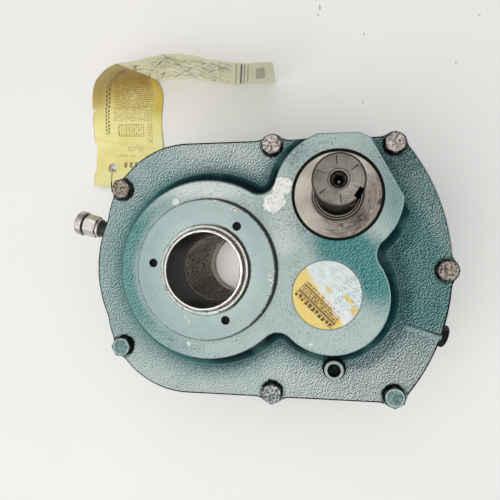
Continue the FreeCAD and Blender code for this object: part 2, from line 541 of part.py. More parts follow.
# countershaft with its pinion
pin2 = tooth_ring(Z_CT_PINION, MT2, CT_PINION_Z[0], CT_PINION_Z[1], -1, dir_ct_from_out + math.pi + math.pi / Z_CT_PINION
                  , 5, CT_X, CT_Y)
rf2 = 0.5 * Z_CT_PINION * MT2 - 1.25 * MN
cs = rev([(0, -57.0), (CT_JOURNAL_R - 0.8, -57.0), (CT_JOURNAL_R, -56.2), (CT_JOURNAL_R, -BRG_Z), (CT_SHOULDER_R, -BRG_Z), (CT_SHOULDER_R, CT_PINION_Z[0] - 1.0), (rf2 - 0.3, CT_PINION_Z[0] + 0.5),
          (rf2 - 0.3, CT_PINION_Z[1] - 0.5), (CT_COLLAR_R, CT_PINION_Z[1] + 1.0), (CT_COLLAR_R, CT_GEAR_Z[0]), (CT_SEAT_R, CT_GEAR_Z[0]), (CT_SEAT_R, CT_GEAR_Z[1]), (CT_SHOULDER_R, CT_GEAR_Z[1] + 1),
          (CT_SHOULDER_R, BRG_Z), (CT_JOURNAL_R, BRG_Z), (CT_JOURNAL_R, 56.2), (CT_JOURNAL_R - 0.8, 57.0), (0, 57.0)], CT_X, CT_Y)
cs = cs.fuse(pin2).cut(key_box(CT_KEY, CT_X, CT_Y))
save("countershaft", cs)

# input shaft with its pinion
pin1 = tooth_ring(Z_IN_PINION, MT1, IN_PINION_Z[0], IN_PINION_Z[1], 1, dir_in_from_ct + math.pi + math.pi / Z_IN_PINION, 4, IN_X, IN_Y)
rf1 = 0.5 * Z_IN_PINION * MT1 - 1.25 * MN
sh = rev([(0, -64.0), (11.9, -64.0), (12.7, -63.2), (12.7, -57.0), (JOURNAL_R, -57.0), (JOURNAL_R, -BRG_Z), (IN_BODY_R, -BRG_Z), (IN_BODY_R, IN_PINION_Z[0] - 2.5), (rf1 - 0.3, IN_PINION_Z[0] - 0.5),
          (rf1 - 0.3, IN_PINION_Z[1] + 0.5), (IN_BODY_R, IN_PINION_Z[1] + 2.5), (IN_BODY_R, BRG_Z), (JOURNAL_R, BRG_Z), (JOURNAL_R, SHAFT_STEP_Z), (SHAFT_R, SHAFT_STEP_Z + 1.2),
          (SHAFT_R, SHAFT_END - 1.2), (SHAFT_R - 1.2, SHAFT_END), (5.8, SHAFT_END), (5.3, SHAFT_END - 0.6), (2.0, SHAFT_END - 6.3), (2.0, SHAFT_END - 11), (0, SHAFT_END - 12.2)], IN_X, IN_Y)
sh = sh.fuse(pin1)
kw = Part.makeBox(KEY_D + 5, KEY_W, KEY_L, V(SHAFT_R - KEY_D, -KEY_W / 2, SHAFT_END - KEY_L)).fuse(
    Part.makeCylinder(KEY_W / 2, KEY_D + 5, V(SHAFT_R - KEY_D, 0, SHAFT_END - KEY_L), V(1, 0, 0)))
kw.rotate(V(0, 0, 0), V(0, 0, 1), KEY_ANG)
kw.translate(V(IN_X, IN_Y, 0))
sh = sh.cut(kw)
# six radial scribe marks on the end face
for i in range(6):
    b = Part.makeBox(4.9, 0.55, 2, V(8.4, -0.275, SHAFT_END - 0.35))
    b.rotate(V(0, 0, 0), V(0, 0, 1), 96 + 60 * i)
    b.translate(V(IN_X, IN_Y, 0))
    sh = sh.cut(b)
save("input_shaft", sh)

# ---------------------------------------------------------------- seals, carrier, cover
seal = rev([(OUT_SEAL_R, 60.3), (OUT_SEAL_R, 65.6), (36.5, 65.6), (35.6, 64.8), (HUB_SEAL_R + 0.06, 63.4), (HUB_SEAL_R + 0.06, 62.6), (36.0, 61.6), (37.5, 61.6), (38.5, 62.6), (42.5, 62.6), (42.5, 60.3)])
save("output_seal_front", seal)
save("output_seal_rear", flip(seal))

car = rev([(16.7, 62.6), (16.7, CARRIER_Z1 - 0.5), (17.2, CARRIER_Z1), (CARRIER_LIP_R - 0.4, CARRIER_Z1), (CARRIER_LIP_R, CARRIER_Z1 - 0.4), (CARRIER_LIP_R, MOUTH_Z), (CARRIER_R - 0.01, MOUTH_Z), (CARRIER_R - 0.01, CARRIER_Z0),
           (22.0, CARRIER_Z0), (22.0, 62.6)], IN_X, IN_Y)
save("input_seal_carrier", car)
iseal = rev([(22.0, 58.3), (22.0, 62.6), (17.6, 62.6), (17.0, 61.8), (JOURNAL_R + 0.06, 60.6), (JOURNAL_R + 0.06, 60.0), (17.6, 59.4), (18.6, 60.6), (20.4, 60.6), (20.4, 58.3)], IN_X, IN_Y)
save("input_oil_seal", iseal)
oring = Part.makeTorus((MOUTH_R + CARRIER_LIP_R) / 2, (MOUTH_R - CARRIER_LIP_R) / 2 - 0.01, V(IN_X, IN_Y, MOUTH_Z + (MOUTH_R - CARRIER_LIP_R) / 2))
save("carrier_o_ring", oring)

zc = -BOSS_Z
cg_ = ring(COVER_R, CARRIER_R, zc - 0.5, zc, IN_X, IN_Y)
cg_ = cg_.cut(Part.makeCompound([cyl(SCREW_R + 0.2, zc - 2, zc + 2, x, y) for x, y in cover_xy]))
save("cover_gasket", cg_)
cov = rev([(0, FLOOR_Z), (26.6, FLOOR_Z), (COVER_DOME_R, FLOOR_Z + 1.4), (COVER_DOME_R, -72.5), (COVER_DOME_R + 1.0, -71.5), (COVER_R - 0.8, -71.5), (COVER_R, -70.7), (COVER_R, zc - 0.5), (CARRIER_R - 0.05, zc - 0.5),
           (CARRIER_R - 0.05, -58.05), (25.5, -58.05), (23.0, -60.0), (23.0, -70.5), (0, -70.5)], IN_X, IN_Y)
cov = cov.cut(Part.makeCompound([cyl(SCREW_R + 0.2, -80, zc + 2, x, y) for x, y in cover_xy]))
save("end_cover", cov)
scr = flip(bolt(71.5, 71.5 - 16.0, SCREW_R - 0.02, 11.11, 4.0, False, 0.0))
save("cover_screws", [moved(rot(scr, 23.0 * i), V(x, y, 0)) for i, (x, y) in enumerate(cover_xy)])

# ---------------------------------------------------------------- plugs and breather
lev = rev([(0, ROOF_Z - 1), (LEVEL_HOLE_R - 0.01, ROOF_Z - 1), (LEVEL_HOLE_R - 0.01, SEAT_Z), (LEVEL_R, SEAT_Z), (LEVEL_R, LEVEL_TOP - 0.8), (LEVEL_R - 0.8, LEVEL_TOP), (0, LEVEL_TOP)], LEVEL_X, LEVEL_Y)
lev = lev.cut(hexagon(8.6, LEVEL_TOP - 6.5, LEVEL_TOP + 1, LEVEL_X, LEVEL_Y, 10)).cut(rev([(0, LEVEL_TOP - 8.2), (4.3, LEVEL_TOP - 6.5), (4.3, LEVEL_TOP - 6.0), (0, LEVEL_TOP - 6.0)], LEVEL_X, LEVEL_Y))
lev = lev.cut(Part.makeCone(4.3, 5.3, 1.0, V(LEVEL_X, LEVEL_Y, LEVEL_TOP - 0.95)))
save("level_plug", lev)


def turned(pts, base, d):
    """Turned piece along direction d; pts are (radius, distance from base)."""
    s = rev(pts)
    s.Placement = FreeCAD.Placement(base, FreeCAD.Rotation(V(0, 0, 1), d))
    return s


dp0 = RIGHT_R + DRAIN_PAD_OUT
drain = turned([(0, dp0 - 13.0), (DRAIN_HOLE_R - 0.01, dp0 - 13.0), (DRAIN_HOLE_R - 0.01, dp0 + 0.5), (0, dp0 + 0.5)], drain_base, pd)
dh = hexagon(DRAIN_AF, dp0, dp0 + DRAIN_H).common(rev([(0, dp0), (8.8, dp0), (8.8, dp0 + DRAIN_H - 1.2), (7.2, dp0 + DRAIN_H), (0, dp0 + DRAIN_H)]))
dh.Placement = FreeCAD.Placement(drain_base, FreeCAD.Rotation(V(0, 0, 1), pd))
drain = drain.fuse(dh)
save("drain_plug", drain)

v0 = LEFT_R + VENT_PAD_OUT
VENT_NECK_Z = v0 + 26.7    # where the neck carries the cap
VENT_COLLAR_R = 8.2
VENT_TURN = 20.0           # turn of the hexagon on its axis
thread = []
for i in range(7):
    thread += [(VENT_HOLE_R - 0.01, v0 + 0.6 + 1.6 * i), (VENT_HOLE_R + 0.55, v0 + 1.3 + 1.6 * i), (VENT_HOLE_R - 0.01, v0 + 2.0 + 1.6 * i)]
vb = turned([(0, v0 - 10.0), (VENT_HOLE_R - 0.01, v0 - 10.0), (VENT_HOLE_R - 0.01, v0)] + thread + [(VENT_HOLE_R - 0.6, v0 + 12.2), (VENT_COLLAR_R - 0.3, v0 + 12.2), (VENT_COLLAR_R, v0 + 12.5), (VENT_COLLAR_R, v0 + 14.2),
              (VENT_COLLAR_R - 0.5, v0 + 14.6), (VENT_HOLE_R - 0.6, v0 + 14.6), (VENT_HOLE_R - 0.6, VENT_NECK_Z), (0, VENT_NECK_Z)], vent_base, bd)
vh = hexagon(VENT_AF, v0 + 14.4, v0 + 26.0).common(rev([(0, v0 + 14.3), (8.0, v0 + 14.3), (9.8, v0 + 15.4), (9.8, v0 + 25.0), (8.0, v0 + 26.1), (0, v0 + 26.1)]))
vh = rot(vh, VENT_TURN)
vh.Placement = FreeCAD.Placement(vent_base, FreeCAD.Rotation(V(0, 0, 1), bd)).multiply(vh.Placement)
vb = vb.fuse(vh)
save("breather_body", vb)
c0 = VENT_NECK_Z
vc = turned([(0, c0), (7.8, c0), (7.8, c0 + 0.3), (VENT_CAP_R, c0 + 0.5), (VENT_CAP_R, c0 + 5.4), (VENT_CAP_R - 0.5, c0 + 6.1), (VENT_CAP_R - 1.8, c0 + 6.5), (0, c0 + 6.8)], vent_base, bd)
save("breather_cap", vc)

# ---------------------------------------------------------------- label, tag and wire
save("round_label", cyl(LABEL_R, BOSS_Z, BOSS_Z + 0.18, LABEL_X, LABEL_Y))

# paper tag: lies on the floor from its hole, then turns up on its edge and runs off to +X
TAG_T = 0.5
tag_sections = [  # right edge point, left edge point
    ((-80.7, 80.5, -66.0), (-158.2, 82.3, -67.0)),
    ((-81.9, 95.6, -69.8), (-159.5, 97.4, -70.4)),
    ((-83.2, 119.1, -73.6), (-160.8, 121.8, -74.0)),
    ((-84.6, 132.1, -75.0), (-162.2, 135.0, -75.0)),
    ((-85.7, 147.1, -75.3), (-163.1, 150.2, -75.0)),
    ((-85.4, 163.0, -75.3), (-162.1, 165.5, -71.5)),
    ((-85.0, 175.5, -75.3), (-154.8, 174.7, -57.0)),
    ((-84.6, 183.0, -75.3), (-142.2, 178.2, -36.0)),
    ((-83.6, 188.4, -75.3), (-126.9, 179.5, -16.0)),
    ((-81.0, 192.0, -75.3), (-107.0, 183.0, -1.8)),
    ((-75.5, 194.0, -75.4), (-78.4, 185.9, 1.5)),
    ((-60.0, 194.0, -75.4), (-50.6, 189.7, 0.0)),
    ((-44.0, 192.2, -75.4), (-30.3, 187.4, -0.2)),
    ((-25.7, 187.8, -75.4), (-11.9, 182.0, 0.2)),
    ((-4.4, 184.5, -75.4), (11.5, 177.7, 0.1)),
    ((15.4, 184.9, -75.4), (27.5, 176.8, 0.7)),
    ((35.6, 184.4, -75.4), (41.9, 176.4, 1.4)),
]


def tag_wire_section(rp, lp, nrm):
    r, l = V(*rp), V(*lp)
    n = V(*nrm)
    n.normalize()
    o = n * (TAG_T / 2)
    pts = [r - o, l - o, l + o, r + o]
    return Part.makePolygon(pts + [pts[0]])


tag_w = []
for i, (rp, lp) in enumerate(tag_sections):
    a = tag_sections[max(i - 1, 0)]
    b = tag_sections[min(i + 1, len(tag_sections) - 1)]
    t = V(*b[0]) + V(*b[1]) - V(*a[0]) - V(*a[1])
    n = t.cross(V(*lp) - V(*rp))
    tag_w.append(tag_wire_section(rp, lp, (n.x, n.y, n.z)))
tag = Part.makeLoft(tag_w, True, True)
hole = Part.makeCylinder(TAG_HOLE_R, 30, V(TAG_HOLE[0], TAG_HOLE[1], -86))
tag = tag.cut(hole)
save("instruction_tag", tag)

# wire: wrapped once round the head of one bolt, a straight run, its end hooked through the tag's hole
bx, by, ba = BOLTS[0]
wr = 0.55
loop_r = (BOLT_AF / 2 + wr + 0.12) * 2 / math.sqrt(3)
wz = FLANGE_Z + wr + 0.07
corner = [V(bx + loop_r * math.cos(math.radians(ba + 60 * i)), by + loop_r * math.sin(math.radians(ba + 60 * i)), wz) for i in range(6)]
pts = [corner[3], corner[4], corner[5], corner[0], corner[1], corner[2], corner[3], V(bx - 10.0, by + 5.7, FLANGE_Z - 0.1),
       V(TAG_HOLE[0] + 1.5, TAG_HOLE[1] - 1.5, TAG_HOLE[2] + 3.2), V(TAG_HOLE[0] + 0.8, TAG_HOLE[1] - 2.4, TAG_HOLE[2] - 4.0),
       V(TAG_HOLE[0] + 3.0, TAG_HOLE[1] - 12.0, TAG_HOLE[2] - 3.4)]
wire = Part.makeSphere(wr, pts[0])
for p, q in zip(pts[:-1], pts[1:]):
    wire = wire.fuse(Part.makeCylinder(wr, (q - p).Length, p, q - p))
    wire = wire.fuse(Part.makeSphere(wr, q))
save("tag_wire", wire)
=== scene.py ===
import bpy, bmesh, math
import numpy as np
from mathutils import Vector, Matrix


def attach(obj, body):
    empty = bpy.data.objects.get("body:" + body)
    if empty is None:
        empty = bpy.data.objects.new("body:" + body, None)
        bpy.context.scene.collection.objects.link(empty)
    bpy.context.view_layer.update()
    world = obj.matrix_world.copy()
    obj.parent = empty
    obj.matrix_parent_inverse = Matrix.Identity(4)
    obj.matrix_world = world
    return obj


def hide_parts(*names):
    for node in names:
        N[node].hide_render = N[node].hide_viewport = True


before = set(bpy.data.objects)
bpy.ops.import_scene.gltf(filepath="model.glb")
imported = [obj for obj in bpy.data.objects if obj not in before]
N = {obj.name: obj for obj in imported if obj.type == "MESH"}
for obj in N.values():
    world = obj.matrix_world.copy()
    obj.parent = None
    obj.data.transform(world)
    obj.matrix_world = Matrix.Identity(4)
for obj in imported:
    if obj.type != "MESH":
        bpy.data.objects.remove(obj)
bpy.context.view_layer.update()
scene = bpy.context.scene

# axes of the three shafts, mm
IN = (97.0, 54.5)
CT = (91.991, -19.330)
FLOOR = -76.0
VENT = 97.5                    # wall face at the breather, along its axis
BOLTS = [(-74.0, 63.3), (-74.0, -63.3), (47.6, 95.0), (47.6, -95.0), (138.6, 93.4), (138.6, -93.4), (175.4, 0.0)]


# ------------------------------------------------------------------ node helper
class G:
    """Small helper to write a node material. Coordinates are in millimetres."""

    def __init__(self, name):
        self.m = bpy.data.materials.new(name)
        self.m.use_nodes = True
        self.t = self.m.node_tree
        self.t.nodes.clear()
        self.out = self.t.nodes.new("ShaderNodeOutputMaterial")
        self.b = self.t.nodes.new("ShaderNodeBsdfPrincipled")
        self.t.links.new(self.b.outputs[0], self.out.inputs[0])
        self.tc = self.t.nodes.new("ShaderNodeTexCoord")
        s = self.t.nodes.new("ShaderNodeVectorMath")
        s.operation = "SCALE"
        self.t.links.new(self.tc.outputs["Object"], s.inputs[0])
        s.inputs["Scale"].default_value = 1000.0
        self.co = s.outputs[0]
        x = self.t.nodes.new("ShaderNodeSeparateXYZ")
        self.t.links.new(self.co, x.inputs[0])
        self.X, self.Y, self.Z = x.outputs
        self._n = None

    @property
    def nrm(self):
        if self._n is None:
            x = self.t.nodes.new("ShaderNodeSeparateXYZ")
            self.t.links.new(self.tc.outputs["Normal"], x.inputs[0])
            self._n = x.outputs
        return self._n

    def put(self, sock, v):
        if isinstance(v, bpy.types.NodeSocket):
            self.t.links.new(v, sock)
        elif isinstance(v, (tuple, list)):
            v = tuple(v)
            if len(sock.default_value) == 4 and len(v) == 3:
                v = v + (1.0,)
            sock.default_value = v
        else:
            sock.default_value = v

    def f(self, op, a, b=None, c=None, clamp=False):
        n = self.t.nodes.new("ShaderNodeMath")
        n.operation = op
        n.use_clamp = clamp
        for i, v in enumerate((a, b, c)):
            if v is not None:
                self.put(n.inputs[i], v)
        return n.outputs[0]

    def add(self, *a):
        r = a[0]
        for v in a[1:]:
            r = self.f("ADD", r, v)
        return r

    def mul(self, *a):
        r = a[0]
        for v in a[1:]:
            r = self.f("MULTIPLY", r, v)
        return r

    def sub(self, a, b):
        return self.f("SUBTRACT", a, b)

    def inv(self, a):
        return self.f("SUBTRACT", 1.0, a)

    def mx(self, *a):
        r = a[0]
        for v in a[1:]:
            r = self.f("MAXIMUM", r, v)
        return r

    def mn(self, *a):
        r = a[0]
        for v in a[1:]:
            r = self.f("MINIMUM", r, v)
        return r

    def st(self, v, lo, hi, a=0.0, b=1.0):
        """Smooth step of v from lo to hi, out from a to b."""
        n = self.t.nodes.new("ShaderNodeMapRange")
        n.interpolation_type = "SMOOTHSTEP"
        self.put(n.inputs["Value"], v)
        for k, q in (("From Min", lo), ("From Max", hi), ("To Min", a), ("To Max", b)):
            self.put(n.inputs[k], q)
        return n.outputs[0]

    def lin(self, v, lo, hi, a=0.0, b=1.0):
        n = self.t.nodes.new("ShaderNodeMapRange")
        self.put(n.inputs["Value"], v)
        for k, q in (("From Min", lo), ("From Max", hi), ("To Min", a), ("To Max", b)):
            self.put(n.inputs[k], q)
        return n.outputs[0]

    def dist(self, x, y, vec=None):
        """Distance in the XY plane from (x, y)."""
        dx = self.f("SUBTRACT", self.X if vec is None else vec[0], x)
        dy = self.f("SUBTRACT", self.Y if vec is None else vec[1], y)
        return self.f("SQRT", self.f("ADD", self.f("MULTIPLY", dx, dx), self.f("MULTIPLY", dy, dy)))

    def spot(self, x, y, r0, r1):
        """1 inside r0 of (x, y), falling to 0 at r1."""
        return self.st(self.dist(x, y), r0, r1, 1.0, 0.0)

    def blob(self, x, y, sx, sy, ang=0.0, soft=0.6, warp=None):
        """Soft ellipse: 1 in the middle, 0 outside."""
        a = math.radians(ang)
        dx = self.f("SUBTRACT", self.X, x)
        dy = self.f("SUBTRACT", self.Y, y)
        u = self.add(self.mul(dx, math.cos(a) / sx), self.mul(dy, math.sin(a) / sx))
        v = self.add(self.mul(dx, -math.sin(a) / sy), self.mul(dy, math.cos(a) / sy))
        d = self.f("SQRT", self.add(self.mul(u, u), self.mul(v, v)))
        if warp is not None:
            d = self.add(d, warp)
        return self.st(d, 1.0 - soft, 1.0, 1.0, 0.0)

    def noise(self, scale, detail=2.0, rough=0.5, dist=0.0, vec=None, off=(0, 0, 0), stretch=None):
        v = self.co if vec is None else vec
        if stretch is not None or off != (0, 0, 0):
            mp = self.t.nodes.new("ShaderNodeMapping")
            self.put(mp.inputs["Vector"], v)
            mp.inputs["Location"].default_value = off
            if stretch is not None:
                mp.inputs["Scale"].default_value = stretch
            v = mp.outputs[0]
        n = self.t.nodes.new("ShaderNodeTexNoise")
        self.put(n.inputs["Vector"], v)
        n.inputs["Scale"].default_value = scale
        n.inputs["Detail"].default_value = detail
        n.inputs["Roughness"].default_value = rough
        n.inputs["Distortion"].default_value = dist
        return n.outputs["Fac"]

    def vor(self, scale, feature="F1", rand=1.0, vec=None, out="Distance"):
        n = self.t.nodes.new("ShaderNodeTexVoronoi")
        n.feature = feature
        self.put(n.inputs["Vector"], self.co if vec is None else vec)
        n.inputs["Scale"].default_value = scale
        n.inputs["Randomness"].default_value = rand
        return n.outputs[out]

    def mix(self, fac, a, b, mode="MIX"):
        n = self.t.nodes.new("ShaderNodeMix")
        n.data_type = "RGBA"
        n.blend_type = mode
        n.clamp_factor = True
        self.put(n.inputs[0], fac)
        self.put(n.inputs[6], a)
        self.put(n.inputs[7], b)
        return n.outputs[2]

    def bump(self, height, strength=0.3, distance=0.0005, normal=None):
        n = self.t.nodes.new("ShaderNodeBump")
        n.inputs["Strength"].default_value = strength
        n.inputs["Distance"].default_value = distance
        self.put(n.inputs["Height"], height)
        if normal is not None:
            self.put(n.inputs["Normal"], normal)
        return n.outputs[0]

    def vec(self, x, y, z):
        n = self.t.nodes.new("ShaderNodeCombineXYZ")
        for i, v in enumerate((x, y, z)):
            self.put(n.inputs[i], v)
        return n.outputs[0]

    def set(self, **k):
        names = {"color": "Base Color", "rough": "Roughness", "metal": "Metallic", "normal": "Normal", "spec": "Specular IOR Level",
                 "coat": "Coat Weight", "coat_rough": "Coat Roughness", "aniso": "Anisotropic", "sheen": "Sheen Weight", "trans": "Transmission Weight",
                 "sss": "Subsurface Weight"}
        for a, v in k.items():
            self.put(self.b.inputs[names[a]], v)
        return self.m


def lin_rgb(r, g, b):
    """Linear colour from 0-255 display values."""
    out = []
    for c in (r, g, b):
        c = c / 255.0
        out.append(c / 12.92 if c <= 0.04045 else ((c + 0.055) / 1.055) ** 2.4)
    return tuple(out)


# ------------------------------------------------------------------ casing paint
DEEP = lin_rgb(14, 60, 65)
TEAL = lin_rgb(64, 122, 119)
RICH = lin_rgb(44, 122, 120)
PALE = lin_rgb(186, 198, 194)
DARK = lin_rgb(0, 17, 22)
BLACK = lin_rgb(11, 14, 14)
CREAM = lin_rgb(238, 236, 231)


def casing(name, sign=1.0, front=True):
    """Enamel over sand-cast iron. sign turns the height axis over for the rear half."""
    g = G(name)
    X, Y = g.X, g.Y
    Z = g.Z if sign > 0 else g.mul(g.Z, -1.0)
    nx, ny, nz0 = g.nrm
    nz = nz0 if sign > 0 else g.mul(nz0, -1.0)

    big = g.noise(0.018, 3, 0.55)
    mid = g.noise(0.09, 3, 0.6)
    fine = g.noise(0.55, 3, 0.65)
    fleck = g.noise(1.05, 2, 0.5, off=(31, 7, 3))
    wob = g.mul(g.sub(g.noise(0.22, 3, 0.6, off=(5, 9, 1)), 0.5), 1.6)
    bign, midn = g.sub(big, 0.5), g.sub(mid, 0.5)

    up = g.st(nz, 0.55, 0.97)
    boss = g.mul(g.st(Z, 65.25, 65.75), up)
    flank = g.mul(g.st(Z, 48.02, 48.5), g.inv(g.st(Z, 64.9, 65.6)))       # fillet and side of the boss
    wall = g.inv(g.st(Z, 45.0, 46.0))                                        # side walls of the casing
    flank = g.mul(flank, g.inv(g.blob(158.7, -44.7, 17.0, 4.0, -18, 0.2)))
    rim = g.mx(0.0, g.sub(g.sub(g.inv(wall), boss), flank))
    # how far outside the boss a point of the rim lies
    out = g.f("SMOOTH_MIN", g.sub(g.dist(0, 0), 67.5), g.f("SMOOTH_MIN", g.sub(g.dist(*IN), 46.7), g.sub(g.dist(*CT), 42.5), 12.0), 12.0)

    # how pale the rim is painted: a painted sheen makes it paler along the near edge and darker at the far end, beyond
    # the ridge; the rest is uneven chalking of the paint
    rim_pale = g.add(0.40, g.mul(g.st(Y, -30.0, -92.0), 0.42), g.mul(g.blob(8, 86, 62, 26, 0, 0.8), 0.30))
    rline = g.add(g.mul(g.sub(X, 146.0), 0.3095), g.mul(g.add(Y, 40.6), 0.9509))
    rim_pale = g.sub(rim_pale, g.mul(g.st(X, 82.0, 138.0), g.st(g.add(rline, g.mul(wob, 4.0), g.mul(g.st(X, 150.0, 180.0), -7.0)), -14.0, 12.0), 0.56))
    # the strip beside the flat of the input lobe is chalky too
    fdir = math.radians(28.6)
    fside = g.st(g.add(g.mul(g.sub(X, IN[0]), math.cos(fdir)), g.mul(g.sub(Y, IN[1]), math.sin(fdir)), g.mul(wob, 5.0)), 34.0, 54.0)
    rim_pale = g.add(rim_pale, g.mul(fside, 0.38))
    rim_pale = g.add(rim_pale, g.mul(bign, 0.35), g.mul(midn, 0.30))
    # and on the boss face
    boss_pale = g.add(0.80, g.mul(bign, 0.25), g.mul(midn, 0.25))
    # painted shade: a sweep of deeper teal round the label, from its top to its right side
    la = g.add(g.f("ARCTAN2", g.add(Y, 17.5), g.sub(X, 89.5)), g.mul(wob, 0.10))
    lr = g.dist(89.5, -17.5)
    shade_sweep = g.mul(g.st(la, -0.62, 0.30), g.st(la, 2.15, 1.45), g.st(lr, 22.0, 30.0, 0.45, 1.0), g.st(g.add(lr, g.mul(wob, 4.0)), 62.0, 42.0))
    shade_sweep = g.mul(shade_sweep, g.lin(g.noise(0.9, 3, 0.65, off=(9, 2, 2)), 0.30, 0.70, 0.72, 1.12))
    boss_pale = g.sub(boss_pale, g.mul(shade_sweep, 1.0))
    boss_pale = g.sub(boss_pale, g.mul(g.blob(140, 50, 20, 52, 12, 0.9), 0.46))
    hub_edge = g.mul(g.st(g.dist(0, 0), 51.5, 60.0), g.st(X, 10.0, -28.0), g.st(Y, 66.0, 30.0), g.st(Y, -64.0, -30.0, 0.35, 1.0))
    boss_pale = g.sub(boss_pale, g.mul(hub_edge, 0.72))
    boss_pale = g.sub(boss_pale, g.mul(g.blob(62, 88, 40, 14, -10, 0.9), 0.25))
    boss_pale = g.add(boss_pale, g.mul(g.blob(-4, 60, 50, 15, 0, 0.9), 0.30))
    boss_pale = g.add(boss_pale, g.mul(g.blob(60, 20, 24, 34, 0, 0.9), 0.08))
    # sides of the boss and of the casing
    side_pale = g.add(0.34, g.mul(midn, 0.3))
    pale = g.add(g.mul(boss, boss_pale), g.mul(rim, rim_pale), g.mul(g.mx(flank, wall), side_pale))
    # painted shade down the fillet at the foot of the boss, least at the lower left where the light comes from
    away = g.add(g.mul(nx, 0.42), g.mul(ny, 0.90))
    lean = g.f("SQRT", g.add(g.mul(nx, nx), g.mul(ny, ny), 0.0001))
    away = g.f("DIVIDE", away, lean)
    foot_shade_amount = g.inv(g.mx(g.mul(g.blob(-50, -48, 62, 58, 0, 0.85), 0.58), g.mul(g.blob(-76, 4, 34, 62, 0, 0.9), 0.22)))
    deep = g.mul(flank, foot_shade_amount)
    pale = g.mul(pale, g.inv(g.mul(flank, 0.94)))
    pale = g.mn(1.0, g.mx(0.0, pale))

    col = g.mix(g.mul(boss, g.mx(g.mn(1.0, shade_sweep), g.mul(hub_edge, 0.8))), TEAL, RICH)
    col = g.mix(flank, col, lin_rgb(52, 112, 109))
    col = g.mix(pale, col, PALE)
    # painted shadow on the rim round the foot of the boss: a teal gradient, darkest close to the boss
    outn = g.add(out, g.mul(g.sub(fine, 0.5), 9.0))
    open_side = g.inv(fside)
    col = g.mix(g.mul(rim, open_side, g.st(outn, 26.0, 10.5), g.lin(foot_shade_amount, 0, 1, 0.40, 0.86)), col, lin_rgb(54, 114, 111))
    rim_foot_shadow = g.mul(rim, open_side, foot_shade_amount, g.st(g.sub(outn, g.mul(g.st(X, 95.0, 120.0), 6.5)), 15.5, 7.5))
    col = g.mix(g.mul(rim_foot_shadow, 0.88), col, g.mix(g.st(X, -60.0, 20.0), lin_rgb(46, 102, 100), g.mix(g.st(X, 95.0, 125.0), DEEP, lin_rgb(11, 60, 66))))
    # painted shade on the fillet: deep teal at its foot, near black higher up, lighter on the left
    left = g.st(g.add(X, g.mul(Y, 0.25)), -4.0, -44.0)
    col = g.mix(g.mul(deep, g.st(Z, 48.02, 48.5)), col, g.mix(left, DEEP, lin_rgb(42, 98, 96)))
    col = g.mix(g.mul(deep, g.st(Z, 48.3, 50.6), 0.94), col, g.mix(left, g.mix(g.st(X, 95.0, 125.0), DARK, lin_rgb(4, 42, 48)), lin_rgb(26, 72, 72)))
    # tint drift
    col = g.mix(g.mul(g.st(g.noise(0.05, 2, 0.5, off=(70, 2, 9)), 0.45, 0.7), 0.22), col, lin_rgb(108, 150, 144))

    # sand-cast grain: fine pits on the rim, coarser leathery grain at the far end
    coarse_zone = g.mul(rim, g.st(g.add(X, g.mul(wob, 12.0)), 92.0, 150.0))
    coarse_zone = g.mx(coarse_zone, g.mul(rim, g.st(X, 40.0, 120.0), g.st(Y, -40.0, -90.0), 0.8))
    grain_a = g.noise(0.95, 2, 0.55, dist=0.5, stretch=(1.0, 0.78, 1.0))
    grain_b = g.noise(0.78, 2, 0.6, dist=1.2, off=(13, 4, 0), stretch=(1.0, 0.85, 1.0))
    grain = g.add(g.mul(grain_a, g.inv(coarse_zone)), g.mul(grain_b, coarse_zone))
    rough_amt = g.add(g.mul(rim, 0.52), g.mul(coarse_zone, 0.75), g.mul(boss, 0.10), g.mul(wall, 0.5), g.mul(flank, 0.05))
    pit = g.st(grain, 0.475, 0.37)
    zone_a = g.mn(1.0, g.mul(rough_amt, 0.9))
    col = g.mix(g.mul(pit, zone_a, 0.30), col, g.mix(0.5, DEEP, DARK))
    # painted highlight and shade on the grain bumps, as if lit from the upper left
    ea, eb, ez = g.mul(g.add(X, Y), 0.44), g.mul(g.sub(X, Y), 0.66), g.mul(Z, 0.75)
    e0 = g.noise(1.0, 2, 0.55, dist=0.35, vec=g.vec(ea, eb, ez))
    e1 = g.noise(1.0, 2, 0.55, dist=0.35, vec=g.vec(ea, g.add(eb, 0.42), ez))
    emb = g.add(g.mul(g.sub(e1, e0), g.lin(coarse_zone, 0, 1, 11.5, 15.0)), g.lin(coarse_zone, 0, 1, 0.20, -0.02))
    emb_amt = g.mul(rim, g.mn(1.0, g.add(0.34, g.mul(g.st(X, -10.0, -70.0), g.st(Y, -60.0, -25.0), 0.40), g.mul(g.st(Y, 40.0, 85.0), 0.42), g.mul(g.st(X, 20.0, 70.0), 0.18), g.mul(coarse_zone, 0.80))))
    emb_amt = g.mul(emb_amt, g.inv(g.mul(rim_foot_shadow, 0.65)))
    emb_amt = g.mx(emb_amt, g.mul(wall, 0.24), g.mul(boss, g.add(0.13, g.mul(g.mx(hub_edge, shade_sweep), 0.26))))
    lit = g.mn(1.0, g.mul(g.mx(0.0, emb), emb_amt))
    shade = g.mn(1.0, g.mul(g.mx(0.0, g.mul(emb, -1.0)), emb_amt))
    col = g.mix(g.mul(lit, 0.90), col, g.mix(g.mul(pale, 1.3), lin_rgb(150, 192, 189), lin_rgb(232, 238, 236)))
    col = g.mix(g.mul(shade, 0.90), col, g.mix(g.mul(pale, 1.2), lin_rgb(10, 44, 47), lin_rgb(78, 98, 97)))
